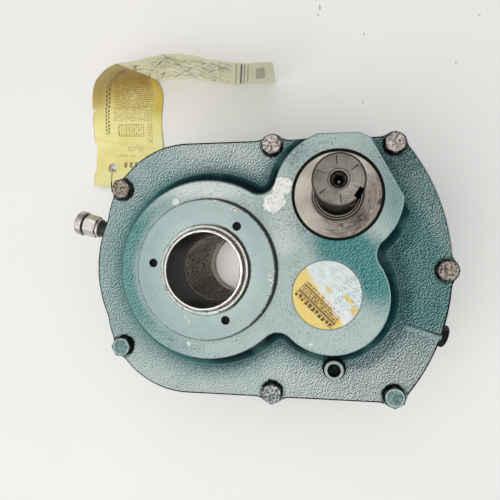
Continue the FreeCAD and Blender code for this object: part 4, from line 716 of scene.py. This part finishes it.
def plug_paint(name):
    """Socket plug: paint worn pale on the rim of the face, the socket painted black as shade with a painted glint,
    painted shade down its side.
    """
    g = G(name)
    r = g.dist(94.6, -74.6)
    a = g.noise(0.5, 4, 0.6)
    col = g.mix(g.st(a, 0.4, 0.6), lin_rgb(184, 198, 194), lin_rgb(140, 158, 154))
    ringl = g.mul(g.st(r, 5.0, 5.4), g.st(g.Z, 54.2, 54.7))
    col = g.mix(g.mul(ringl, 0.45), col, lin_rgb(160, 174, 170))
    # the socket is painted black as shade
    inn = g.st(r, 5.15, 4.8)
    col = g.mix(inn, col, lin_rgb(4, 6, 6))
    # painted glint in the socket
    col = g.mix(g.mul(g.blob(95.2, -73.6, 1.9, 1.6, 30, 0.5), inn, 0.8), col, lin_rgb(176, 186, 184))
    # painted shade down the side of the plug
    low = g.st(g.Z, 54.6, 53.6)
    col = g.mix(g.mul(low, 0.92), col, lin_rgb(18, 24, 24))
    return g.set(color=col, rough=g.add(0.34, g.mul(a, 0.2)), metal=0.05, normal=g.bump(a, 0.3, 0.0003), spec=0.1)


def black_plug(name):
    g = G(name)
    a = g.noise(0.4, 4, 0.6)
    col = g.mix(g.st(a, 0.4, 0.65), lin_rgb(5, 7, 7), lin_rgb(16, 20, 20))
    return g.set(color=col, rough=g.add(0.3, g.mul(a, 0.25)), metal=0.0, spec=0.1, normal=g.bump(g.noise(1.2, 3, 0.6), 0.3, 0.0003))


def nickel(name):
    """Breather: dull nickel, painted shade in the gap, the thread and the seam, long tool marks round the axis."""
    g = G(name)
    ca, sa = math.cos(math.radians(164.5)), math.sin(math.radians(164.5))
    s = g.add(g.mul(g.X, ca), g.mul(g.sub(g.Y, 3.7), sa))     # distance along the breather's axis
    a = g.noise(0.18, 3, 0.6)
    turn = g.noise(1.0, 3, 0.7, vec=g.vec(g.mul(s, 2.6), 0.0, 0.0))
    col = g.mix(g.st(a, 0.3, 0.7), lin_rgb(230, 227, 221), lin_rgb(180, 176, 170))
    col = g.mix(g.mul(g.st(turn, 0.42, 0.68), 0.45), col, lin_rgb(128, 120, 108))
    # painted shade in the gap, the thread and the seam
    gap_shadow = g.mul(g.st(s, VENT + 25.8, VENT + 26.0), g.st(s, VENT + 27.1, VENT + 26.9))
    col = g.mix(g.mul(gap_shadow, 0.9), col, lin_rgb(30, 28, 26))
    thread_shade = g.st(s, VENT + 12.2, VENT + 11.9)
    col = g.mix(g.mul(thread_shade, 0.85), col, lin_rgb(40, 37, 34))
    seam = g.mul(g.st(s, VENT + 14.0, VENT + 14.3), g.st(s, VENT + 15.3, VENT + 14.9))
    col = g.mix(g.mul(seam, 0.85), col, lin_rgb(26, 24, 22))
    spot_ = g.st(g.noise(0.7, 4, 0.65, off=(3, 6, 9)), 0.62, 0.68)
    col = g.mix(g.mul(spot_, 0.5), col, lin_rgb(84, 72, 60))
    return g.set(color=col, rough=g.add(0.26, g.mul(a, 0.16)), metal=0.9, normal=g.bump(turn, 0.25, 0.0001))


def label_film(name):
    """Round label: white worn film, a yellow print left at the lower left, plain bars and blocks that spell nothing."""
    g = G(name)
    cx, cy = 89.5, -17.5
    dx, dy = g.sub(g.X, cx), g.sub(g.Y, cy)
    r = g.dist(cx, cy)
    n1 = g.noise(0.22, 4, 0.65, off=(3, 1, 1))
    n2 = g.noise(0.8, 4, 0.7, off=(8, 5, 1))
    # t runs across the print, u along its rows
    t = g.add(g.mul(dx, 0.70), g.mul(dy, 0.714))
    u = g.add(g.mul(dx, 0.714), g.mul(dy, -0.70))
    lim = g.add(-2.6, g.mul(u, -0.22))
    ragged = g.add(g.mul(g.sub(n1, 0.5), 13.0), g.mul(g.sub(n2, 0.5), 11.0))
    yel = g.st(g.add(g.sub(t, lim), ragged), 0.5, -0.5)
    w2 = g.mul(g.sub(n2, 0.5), 2.0)
    isl = g.mx(g.blob(cx + 20.0, cy - 11.5, 4.6, 3.4, -42, 0.3, w2), g.blob(cx + 15.5, cy - 3.0, 5.0, 1.8, -44, 0.3, w2), g.blob(cx + 1.0, cy + 4.0, 3.4, 1.6, -44, 0.3, w2))
    yel = g.mx(yel, isl)
    white = g.mix(g.st(n1, 0.35, 0.65), lin_rgb(222, 230, 229), lin_rgb(196, 210, 208))
    blush = g.st(t, 8.0, -6.0)
    white = g.mix(g.mul(blush, 0.6), white, lin_rgb(236, 230, 228))
    gold = g.mix(g.st(n1, 0.35, 0.62), lin_rgb(230, 196, 84), lin_rgb(224, 200, 116))
    gold = g.mix(g.mul(g.st(n2, 0.53, 0.62), 0.55), gold, lin_rgb(234, 224, 190))
    col = g.mix(yel, white, gold)
    # worn dots in the film
    pepper = g.mul(g.st(g.noise(1.0, 3, 0.6, off=(4, 9, 9)), 0.545, 0.60), g.st(t, -9.0, 4.0), g.st(u, -6.0, 8.0, 0.18, 1.0))
    col = g.mix(g.mul(pepper, 0.75), col, lin_rgb(92, 116, 116))
    # rows: two ruled bands, three rows of small dashes, one of heavy blocks
    fade = g.st(g.add(n2, g.mul(g.sub(t, lim), -0.03)), 0.36, 0.50)
    ends = g.st(g.f("ABSOLUTE", g.add(u, -1.0)), 18.6, 17.4)
    bars = None
    for tt, hw, step, cut, dark in ((-5.4, 0.75, 0.0, 0.0, 0.9), (-11.2, 0.85, 0.0, 0.0, 0.95), (-3.2, 0.65, 1.3, 0.44, 1.0), (-7.3, 0.7, 1.2, 0.43, 1.0), (-9.2, 0.7, 1.1, 0.44, 1.0), (-14.3, 1.75, 0.85, 0.42, 1.0), (1.4, 0.55, 1.3, 0.50, 0.8), (3.6, 0.5, 1.1, 0.52, 0.6)):
        m = g.st(g.f("ABSOLUTE", g.sub(t, tt)), hw + 0.22, hw - 0.12)
        if step > 0:
            if hw > 1.0:
                # heavy blocks with nicks cut out of them
                m = g.mul(m, g.st(g.f("FRACT", g.mul(g.add(u, 60.0), 0.305)), 0.80, 0.74), g.st(g.noise(1.0, 1, 0.5, vec=g.vec(g.mul(u, 0.62), g.mul(t, 0.55), 6.0)), 0.62, 0.57))
            else:
                m = g.mul(m, g.st(g.noise(1.0, 1, 0.5, vec=g.vec(g.mul(u, step), tt * 3.7, 0.0)), cut, cut + 0.06))
        m = g.mul(m, dark)
        bars = m if bars is None else g.mx(bars, m)
    bars = g.mul(bars, ends, fade, g.mx(yel, 0.45))
    col = g.mix(g.mul(bars, 0.95), col, g.mix(g.st(t, -12.6, -13.2), lin_rgb(112, 78, 42), lin_rgb(62, 34, 32)))
    edge = g.st(g.add(r, g.mul(g.sub(n2, 0.5), 0.8)), 24.35, 24.85)
    col = g.mix(g.mul(edge, 0.8), col, lin_rgb(84, 104, 102))
    return g.set(color=col, rough=g.add(0.42, g.mul(n1, 0.16)), normal=g.bump(g.add(n1, g.mul(pepper, -0.6)), 0.3, 0.0002), spec=0.4)


def paper(name):
    """Yellow coated paper, with plain rows of faded marks that spell nothing."""
    g = G(name)
    uvn = g.t.nodes.new("ShaderNodeUVMap")
    uvn.uv_map = "Sheet"
    sx = g.t.nodes.new("ShaderNodeSeparateXYZ")
    g.t.links.new(uvn.outputs[0], sx.inputs[0])
    u = g.mul(sx.outputs[0], 1000.0)      # across, mm, the left edge is +
    v = g.mul(sx.outputs[1], 1000.0)      # along, mm
    p = g.vec(u, v, 0.0)
    n1 = g.noise(0.03, 3, 0.6, vec=p)
    n2 = g.noise(0.5, 4, 0.65, vec=p)
    n3 = g.noise(0.09, 3, 0.6, vec=p)
    base = g.mix(g.st(n1, 0.3, 0.7), lin_rgb(238, 231, 164), lin_rgb(230, 217, 132))
    # the strip is paler: part its cream back, part painted light
    strip = g.st(v, 137.6, 138.4)
    base = g.mix(strip, base, g.mix(g.st(n1, 0.3, 0.7), lin_rgb(255, 252, 220), lin_rgb(252, 246, 204)))
    below = g.inv(strip)
    # painted shade in brown inside the curl, strong yellow and brown along its edges
    curl_shade = g.mul(below, g.st(v, 72.0, 118.0), g.st(u, -37.0, -22.0), g.st(u, 38.0, 20.0))
    base = g.mix(g.mul(curl_shade, g.lin(n3, 0.3, 0.7, 0.75, 1.0), 0.95), base, lin_rgb(172, 124, 12))
    base = g.mix(g.mul(below, g.st(u, -24.0, -33.0), g.st(v, 66.0, 88.0), 0.85), base, lin_rgb(206, 178, 66))
    base = g.mix(g.mul(below, g.st(u, 20.0, 30.0), g.st(v, 66.0, 96.0), 0.75), base, lin_rgb(182, 156, 74))
    # rows of small dashes
    row = g.f("FRACT", g.mul(g.add(v, g.mul(u, 0.10)), 1.0 / 1.8))
    line = g.mul(g.st(row, 0.28, 0.36), g.st(row, 0.74, 0.66))
    dash = g.st(g.noise(1.0, 2, 0.7, vec=g.vec(g.mul(u, 1.0), g.mul(g.f("FLOOR", g.mul(g.add(v, g.mul(u, 0.10)), 1.0 / 1.8)), 7.3), 0.0)), 0.45, 0.51)
    body = g.mul(g.st(g.f("ABSOLUTE", g.add(u, 4.5)), 20.5, 19.5), g.st(v, 70.0, 71.5), g.st(v, 135.0, 133.0))
    few = g.mx(g.mul(g.st(g.f("ABSOLUTE", g.add(u, 8.0)), 9.5, 8.5), g.st(v, 38.0, 38.6), g.st(v, 44.0, 43.4)), g.mul(g.st(g.f("ABSOLUTE", g.sub(u, 4.0)), 11.5, 10.5), g.st(v, 31.6, 32.0), g.st(v, 35.0, 34.6)))
    right = g.mul(g.st(g.f("ABSOLUTE", g.add(u, 25.0)), 3.6, 3.0), g.st(v, 46.0, 48.0), g.st(v, 130.0, 128.0))
    block = g.st(g.noise(1.0, 1, 0.5, vec=g.vec(g.mul(u, 0.035), g.mul(v, 0.05), 4.0)), 0.52, 0.56)
    on_strip = g.mul(strip, block, g.st(g.f("ABSOLUTE", u), 33.0, 31.0), g.st(v, 236.0, 234.0), 0.8)
    marks = g.mul(line, dash, g.mn(1.0, g.add(body, few, right, on_strip)))
    base = g.mix(g.mul(marks, g.lin(n2, 0.3, 0.7, 0.6, 0.95)), base, lin_rgb(74, 54, 20))
    # small ruled box with heavy bars
    bu, bv = g.f("ABSOLUTE", g.sub(u, -4.0)), g.f("ABSOLUTE", g.sub(v, 61.5))
    box = g.mul(g.st(bu, 14.6, 14.3), g.st(bv, 6.9, 6.6))
    bars = g.mul(box, g.mx(g.st(bu, 13.7, 14.0), g.st(bv, 6.0, 6.3)), 0.6)
    inbox = g.mul(box, g.st(g.f("FRACT", g.mul(g.add(u, 40.0), 0.36)), 0.50, 0.60), g.st(g.noise(0.5, 2, 0.6, vec=p, off=(7, 7, 0)), 0.46, 0.54))
    bars = g.mx(bars, g.mul(inbox, 0.8))
    # sketched outlines on the strip
    sk = g.f("ABSOLUTE", g.sub(g.noise(0.11, 1, 0.5, dist=0.8, vec=p, off=(2, 5, 0)), 0.5))
    sk2 = g.f("ABSOLUTE", g.sub(g.noise(0.17, 1, 0.5, dist=0.4, vec=p, off=(9, 1, 0)), 0.52))
    rule_a = g.f("ABSOLUTE", g.sub(g.f("FRACT", g.mul(g.add(g.mul(u, 0.80), g.mul(v, 0.60)), 1.0 / 12.0)), 0.5))
    rule_b = g.f("ABSOLUTE", g.sub(g.f("FRACT", g.mul(g.sub(g.mul(u, 0.55), g.mul(v, 0.83)), 1.0 / 17.0)), 0.5))
    rules = g.mx(g.mul(g.st(rule_a, 0.070, 0.042), g.st(n3, 0.46, 0.52)), g.mul(g.st(rule_b, 0.065, 0.040), g.st(n3, 0.54, 0.48)))
    sketch = g.mul(strip, g.mx(g.mul(g.st(sk, 0.020, 0.010), 0.6), g.mul(g.st(sk2, 0.018, 0.009), 0.6), rules), g.st(g.f("ABSOLUTE", u), 34.0, 32.0), g.st(v, 234.0, 230.0), g.st(g.noise(0.05, 1, 0.5, vec=p, off=(4, 4, 0)), 0.34, 0.44))
    bars = g.mx(bars, g.mul(sketch, 0.95))
    # heavy blocks in a row near the free end
    big_row = g.mul(g.st(g.f("ABSOLUTE", g.sub(v, 23.0)), 3.2, 2.8), g.st(g.f("ABSOLUTE", g.add(u, 10.0)), 16.0, 15.0), g.st(g.f("FRACT", g.mul(g.add(u, 60.0), 0.17)), 0.40, 0.46))
    bars = g.mx(bars, g.mul(big_row, 0.8))
    # two heavy broken lines beside the left edge
    for uu, off in ((18.4, 0.0), (21.2, 1.7)):
        d = g.st(g.f("FRACT", g.mul(g.add(v, off), 0.26)), 0.72, 0.64)
        bars = g.mx(bars, g.mul(g.st(g.f("ABSOLUTE", g.sub(u, g.sub(uu + 2.6, g.st(v, 96.0, 138.0, 0.0, 13.0)))), 1.0, 0.6), d, g.st(v, 56.0, 58.0), below))
    # rules across the strip, a heavy one near its end
    for vv, hw, k in ((205.0, 0.5, 0.35), (222.0, 0.5, 0.35), (238.0, 0.6, 0.6), (243.0, 0.75, 1.3), (246.0, 0.4, 0.8), (249.5, 0.4, 0.7)):
        bars = g.mx(bars, g.mul(g.st(g.f("ABSOLUTE", g.sub(v, vv)), hw + 0.35, hw - 0.1), g.st(g.f("ABSOLUTE", u), 35.5, 34.0), k))
    hatch = g.mul(g.st(g.f("ABSOLUTE", g.sub(v, 261.5)), 4.2, 3.8), g.st(g.f("ABSOLUTE", g.add(u, 2.0)), 21.0, 20.0), g.st(g.f("FRACT", g.mul(v, 0.55)), 0.30, 0.45))
    bars = g.mx(bars, g.mul(hatch, 0.9))
    base = g.mix(g.mul(bars, g.lin(n2, 0.3, 0.7, 0.7, 1.0)), base, lin_rgb(48, 40, 26))
    # painted shade along the folds: the lip, and one oblique crease
    fold = g.st(g.f("ABSOLUTE", g.sub(v, 138.0)), 0.9, 0.3)
    obl = g.f("ABSOLUTE", g.add(g.sub(v, 183.5), g.mul(u, 0.355)))
    fold = g.mx(fold, g.mul(g.st(obl, 1.0, 0.35), 0.8))
    base = g.mix(g.mul(fold, 0.65), base, lin_rgb(82, 68, 38))
    stain = g.st(n2, 0.60, 0.74)
    base = g.mix(g.mul(stain, 0.25), base, lin_rgb(160, 132, 70))
    rub = g.st(g.f("ABSOLUTE", u), 37.6, 38.6)
    base = g.mix(g.mul(rub, 0.5), base, lin_rgb(150, 128, 76))
    g.set(color=base, rough=g.add(0.50, g.mul(n1, 0.15)), normal=g.bump(g.add(g.mul(n2, 0.5), g.noise(0.12, 3, 0.6, vec=p), g.mul(fold, -0.8)), 0.35, 0.0006), spec=0.35, sheen=0.25)
    return g.m


# ------------------------------------------------------------------ materials on the CAD nodes
MAT = {
    "casing_front": casing("casing_front", 1.0, True),
    "casing_rear": casing("casing_rear", -1.0, False),
    "plate": plate_paint("plate_paint"),
    "hub": hub_steel("hub_steel"),
    "shaft": shaft_steel("shaft_steel"),
    "carrier": carrier_steel("carrier_steel"),
    "bolts": bolt_steel("bolt_steel"),
    "zinc": steel("zinc_steel", lin_rgb(186, 186, 180), lin_rgb(120, 120, 114), 0.34, 0.6, 0.25),
    "ring": ring_steel("ring_steel"),
    "gear": steel("gear_steel", lin_rgb(150, 147, 140), lin_rgb(92, 88, 82), 0.28, 0.4, 0.0),
    "bearing": steel("bearing_steel", lin_rgb(206, 206, 206), lin_rgb(150, 150, 150), 0.14, 0.4, 0.0, metal=1.0),
    "cage": steel("cage_steel", lin_rgb(140, 132, 118), lin_rgb(96, 88, 78), 0.42, 0.5, 0.0),
    "rubber": rubber("black_rubber"),
    "gasket": gasket("gasket_fibre"),
    "level": plug_paint("level_plug_paint"),
    "drain": black_plug("drain_plug_black"),
    "nickel": nickel("nickel_steel"),
    "label": label_film("label_film"),
    "wire": wire_steel("wire_steel"),
}


def assign(mat, *names):
    for n in names:
        o = N[n]
        o.data.materials.clear()
        o.data.materials.append(MAT[mat])


assign("casing_front", "front_housing")
assign("casing_rear", "rear_housing", "end_cover")
assign("plate", "backing_plate_front", "backing_plate_rear")
assign("hub", "output_hub")
assign("shaft", "input_shaft")
assign("carrier", "input_seal_carrier")
assign("bolts", "housing_bolts")
assign("zinc", "housing_nuts", "lock_washers", "cover_screws", "dowel_pins")
assign("ring", "retaining_ring_front", "retaining_ring_rear")
assign("gear", "output_gear", "countershaft_gear", "countershaft", "output_gear_key", "countershaft_key")
for n in N:
    if "_bearing_" in n:
        assign("cage" if n.endswith("_cage") else "bearing", n)
assign("rubber", "output_seal_front", "output_seal_rear", "input_oil_seal", "carrier_o_ring")
assign("gasket", "housing_gasket", "cover_gasket")
assign("level", "level_plug")
assign("drain", "drain_plug")
assign("nickel", "breather_body", "breather_cap")
assign("label", "round_label")
assign("wire", "tag_wire")


# ------------------------------------------------------------------ the paper tag
TAG_W = 77.5
SECTIONS = [  # right edge, left edge
    ((-80.7, 80.5, -66.0), (-158.2, 82.3, -67.0)),
    ((-81.9, 95.6, -69.8), (-159.5, 97.4, -70.4)),
    ((-83.2, 119.1, -73.6), (-160.8, 121.8, -74.0)),
    ((-84.6, 132.1, -75.0), (-162.2, 135.0, -75.0)),
    ((-85.7, 147.1, -75.3), (-163.1, 150.2, -75.0)),
    ((-84.6, 163.0, -75.3), (-162.1, 165.5, -71.5)),
    ((-84.1, 175.5, -75.3), (-154.8, 174.7, -57.0)),
    ((-85.4, 183.0, -75.3), (-142.2, 178.2, -36.0)),
    ((-87.6, 188.4, -75.3), (-126.9, 179.5, -16.0)),
    ((-89.6, 191.9, -75.3), (-113.6, 182.2, -4.5)),
    ((-91.3, 194.0, -75.3), (-101.0, 183.8, 0.9)),
    ((-83.2, 194.3, -75.4), (-78.4, 185.9, 1.5)),
    ((-67.8, 194.3, -75.4), (-50.6, 189.7, 0.0)),
    ((-48.2, 192.6, -75.4), (-30.3, 187.4, -0.2)),
    ((-27.7, 187.8, -75.4), (-11.9, 182.0, 0.2)),
    ((-4.4, 184.5, -75.4), (11.5, 177.7, 0.1)),
    ((15.4, 184.9, -75.4), (27.5, 176.8, 0.7)),
    ((35.6, 184.4, -75.4), (41.9, 176.4, 1.4)),
]
FOLD = 10                      # the section where the paper is folded over
TAG_HOLE, TAG_HOLE_R = (-138.9, 101.2), 4.9


def catmull(pts, t):
    n = len(pts) - 1
    i = min(int(t), n - 1)
    f = t - i
    lo, hi = (0, FOLD) if i < FOLD else (FOLD, n)
    p1, p2 = pts[i], pts[i + 1]
    p0 = pts[i - 1] if i > lo else 2 * p1 - p2
    p3 = pts[i + 2] if i + 2 <= hi else 2 * p2 - p1
    return 0.5 * ((2 * p1) + (p2 - p0) * f + (2 * p0 - 5 * p1 + 4 * p2 - p3) * f * f + (3 * p1 - p0 - 3 * p2 + p3) * f ** 3)


def bell(x, w):
    return math.exp(-(x / w) ** 2)


def ramp(x, a, b):
    k = min(1.0, max(0.0, (x - a) / (b - a)))
    return k * k * (3 - 2 * k)


def make_tag():
    R = [np.array(q[0]) for q in SECTIONS]
    L = [np.array(q[1]) for q in SECTIONS]
    # even steps along the middle line
    ts = np.linspace(0, len(SECTIONS) - 1, 1700)
    mids = np.array([0.5 * (catmull(R, t) + catmull(L, t)) for t in ts])
    ln = np.concatenate([[0], np.cumsum(np.linalg.norm(np.diff(mids, axis=0), axis=1))])
    total = ln[-1]
    nv = int(total / 1.2)
    nu = 65
    bm = bmesh.new()
    uvl = bm.loops.layers.uv.new("Sheet")
    rows, info = [], []
    for j in range(nv + 1):
        s = total * j / nv
        t = float(np.interp(s, ln, ts))
        a, b = catmull(R, t), catmull(L, t)
        c = 0.5 * (a + b)
        w = (b - a) / np.linalg.norm(b - a)
        t2 = min(t + 0.05, len(SECTIONS) - 1)
        t1 = max(t - 0.05, 0)
        tang = 0.5 * (catmull(R, t2) + catmull(L, t2)) - 0.5 * (catmull(R, t1) + catmull(L, t1))
        nrm = np.cross(tang, w)
        nrm /= np.linalg.norm(nrm) + 1e-9
        # the left edge is torn back a little beside the hole and nicked once further on
        inset = 2.4 * ramp(s, 13.0, 18.0) * ramp(s, 50.0, 45.0) + 0.5 * math.sin(0.9 * s) * ramp(s, 10.0, 20.0) * ramp(s, 56.0, 46.0) + 2.8 * bell(s - 82.0, 1.5)
        chord = min(np.linalg.norm(b - a), TAG_W)
        bow = math.sqrt(max(0.0, 0.375 * chord * (TAG_W - chord))) * 0.6
        row = []
        for i in range(nu):
            q = -0.5 + i / (nu - 1)
            if q > 0.3:
                q -= (q - 0.3) / 0.2 * inset / TAG_W
            p = c + w * (q * chord) - nrm * (bow * (1.0 - 4.0 * q * q))
            # cockle and creases of handled paper
            d = 0.40 * math.sin(0.11 * s + 3.0 * q) * math.cos(4.0 * q) + 0.28 * math.sin(0.31 * s + 9.0 * q + 1.0)
            d += 0.8 * bell(s - 44.0 - 10.0 * q, 2.2) - 1.0 * bell(s - 183.5 + 0.355 * q * TAG_W, 1.8)
            d += 0.6 * bell(s - 158.0 - 40.0 * q, 2.4) - 0.5 * bell(s - 62.0 + 16.0 * q, 1.8)
            p = p + nrm * d
            p[2] = max(p[2], FLOOR + 0.25)
            row.append(bm.verts.new(Vector(p * 0.001)))
            info.append((q * TAG_W, s))
        rows.append(row)
    bm.verts.index_update()
    hx, hy = TAG_HOLE
    for j in range(nv):
        for i in range(nu - 1):
            f = bm.faces.new((rows[j][i], rows[j][i + 1], rows[j + 1][i + 1], rows[j + 1][i]))
            f.smooth = True
            for lp in f.loops:
                q, s = info[lp.vert.index]
                lp[uvl].uv = (q * 0.001, s * 0.001)
    # punched hole near the free end
    def away_from_hole(co):
        return math.hypot(co.x * 1000 - hx, co.y * 1000 - hy)
    near = [f for f in bm.faces if f.calc_center_median().z < -0.05 and away_from_hole(f.calc_center_median()) < TAG_HOLE_R]
    bmesh.ops.delete(bm, geom=near, context="FACES")
    for v in bm.verts:
        d = away_from_hole(v.co)
        if v.co.z < -0.05 and d < TAG_HOLE_R * 1.35 and v.is_boundary:
            k = TAG_HOLE_R / max(d, 1e-6)
            v.co.x = (hx + (v.co.x * 1000 - hx) * k) * 0.001
            v.co.y = (hy + (v.co.y * 1000 - hy) * k) * 0.001
    area = sum(f.calc_area() for f in bm.faces)
    me = bpy.data.meshes.new("paper_tag")
    bm.to_mesh(me)
    bm.free()
    o = bpy.data.objects.new("paper_tag", me)
    scene.collection.objects.link(o)
    sol = o.modifiers.new("thick", "SOLIDIFY")
    sol.thickness = 0.00025
    sol.offset = 0.0
    me.materials.append(paper("tag_paper"))
    return o, total, area


tag, tag_len, tag_area = make_tag()
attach(tag, "housing")
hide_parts("instruction_tag")
print("tag length mm", round(tag_len, 1), "area ratio", round(tag_area / (TAG_W * tag_len * 1e-6), 3))


# ------------------------------------------------------------------ floor, light, camera
def floor():
    me = bpy.data.meshes.new("floor")
    s = 4.0
    z = FLOOR * 0.001 - 0.0001
    me.from_pydata([(-s, -s, z), (s, -s, z), (s, s, z), (-s, s, z)], [], [(0, 1, 2, 3)])
    o = bpy.data.objects.new("floor", me)
    scene.collection.objects.link(o)
    g = G("floor_pale")
    n = g.noise(0.004, 2, 0.5)
    col = g.mix(n, lin_rgb(236, 234, 231), lin_rgb(242, 240, 238))
    # a few flecks of dirt behind the unit
    wob = g.mul(g.sub(g.noise(0.5, 3, 0.7), 0.5), 2.0)
    dirt = g.mx(g.blob(77.5, 265.6, 2.6, 1.2, 20, 0.3, wob), g.blob(80.0, 257.0, 1.2, 3.4, 10, 0.3, wob), g.blob(78.5, 250.0, 1.0, 1.8, -20, 0.3, wob))
    dirt = g.mx(dirt, g.blob(123.5, 227.5, 0.8, 2.0, 30, 0.3, wob), g.blob(209.5, 193.6, 0.8, 1.5, -30, 0.3, wob), g.blob(230.5, 237.5, 1.6, 0.7, -40, 0.3, wob))
    dirt = g.mx(dirt, g.blob(122.5, 160.0, 0.7, 1.6, 20, 0.3, wob))
    col = g.mix(g.mul(dirt, 0.6), col, lin_rgb(138, 132, 118))
    g.set(color=col, rough=0.6, spec=0.2)
    me.materials.append(g.m)
    return o


floor()


def area(name, loc, target, size, power, color=(1, 1, 1)):
    l = bpy.data.lights.new(name, "AREA")
    l.shape = "RECTANGLE"
    l.size, l.size_y = size
    l.energy = power
    l.color = color
    o = bpy.data.objects.new(name, l)
    scene.collection.objects.link(o)
    o.location = loc
    d = Vector(target) - Vector(loc)
    o.rotation_euler = d.to_track_quat("-Z", "Y").to_euler()
    return o


area("key", (-0.75, -0.85, 1.35), (0.03, 0.0, 0.0), (1.3, 1.3), 9.2, (1.0, 0.99, 0.98))
area("top", (0.28, 0.28, 1.8), (0.05, 0.0, 0.0), (2.8, 2.8), 26.5, (0.99, 0.995, 1.0))

# a small lamp straight above the bore, so that the floor shows pale through it
bore = bpy.data.lights.new("bore_lamp", "SPOT")
bore.energy = 36.0
bore.spot_size = 2.0 * math.atan(0.031 / 1.2)
bore.spot_blend = 0.25
bore.shadow_soft_size = 0.02
bore_o = bpy.data.objects.new("bore_lamp", bore)
scene.collection.objects.link(bore_o)
bore_o.location = (0.0, 0.0, 1.2)

world = bpy.data.worlds.new("studio")
scene.world = world
world.use_nodes = True
wt = world.node_tree
wt.nodes.clear()
wo = wt.nodes.new("ShaderNodeOutputWorld")
wb = wt.nodes.new("ShaderNodeBackground")
wc = wt.nodes.new("ShaderNodeTexCoord")
wd = wt.nodes.new("ShaderNodeVectorMath")
wd.operation = "DOT_PRODUCT"
v = Vector((-0.45, -0.55, 0.70)).normalized()
wd.inputs[1].default_value = v
wm = wt.nodes.new("ShaderNodeMapRange")
wm.interpolation_type = "SMOOTHSTEP"
wm.inputs["From Min"].default_value = -0.3
wm.inputs["From Max"].default_value = 0.9
wm.inputs["To Min"].default_value = 0.20
wm.inputs["To Max"].default_value = 0.52
wt.links.new(wc.outputs["Generated"], wd.inputs[0])
wt.links.new(wd.outputs["Value"], wm.inputs["Value"])
wt.links.new(wm.outputs[0], wb.inputs["Strength"])
wb.inputs["Color"].default_value = (1.0, 1.0, 1.0, 1.0)
wt.links.new(wb.outputs[0], wo.inputs[0])

cam_d = bpy.data.cameras.new("camera")
cam = bpy.data.objects.new("camera", cam_d)
scene.collection.objects.link(cam)
cam_d.sensor_fit = "HORIZONTAL"
cam_d.sensor_width = 36.0
cam_d.lens = 36.0 * 490.0 / 500.0
cam_d.clip_start = 0.01
n_ = np.array([84.0, -4.0, 490.0])
n_ /= np.linalg.norm(n_)
Zc = -n_
ex = np.array([1.0, 0.0, 0.0])
Xc = ex - ex.dot(Zc) * Zc
Xc /= np.linalg.norm(Xc)
Yc = np.cross(Zc, Xc)
Rwc = np.array([Xc, Yc, Zc])
right, up_, back = Rwc[:, 0], -Rwc[:, 1], -Rwc[:, 2]
M = Matrix(((right[0], up_[0], back[0], 0.09444), (right[1], up_[1], back[1], 0.01771), (right[2], up_[2], back[2], 0.422), (0, 0, 0, 1)))
cam.matrix_world = M
scene.camera = cam

scene.view_settings.view_transform = "Standard"
scene.view_settings.look = "None"
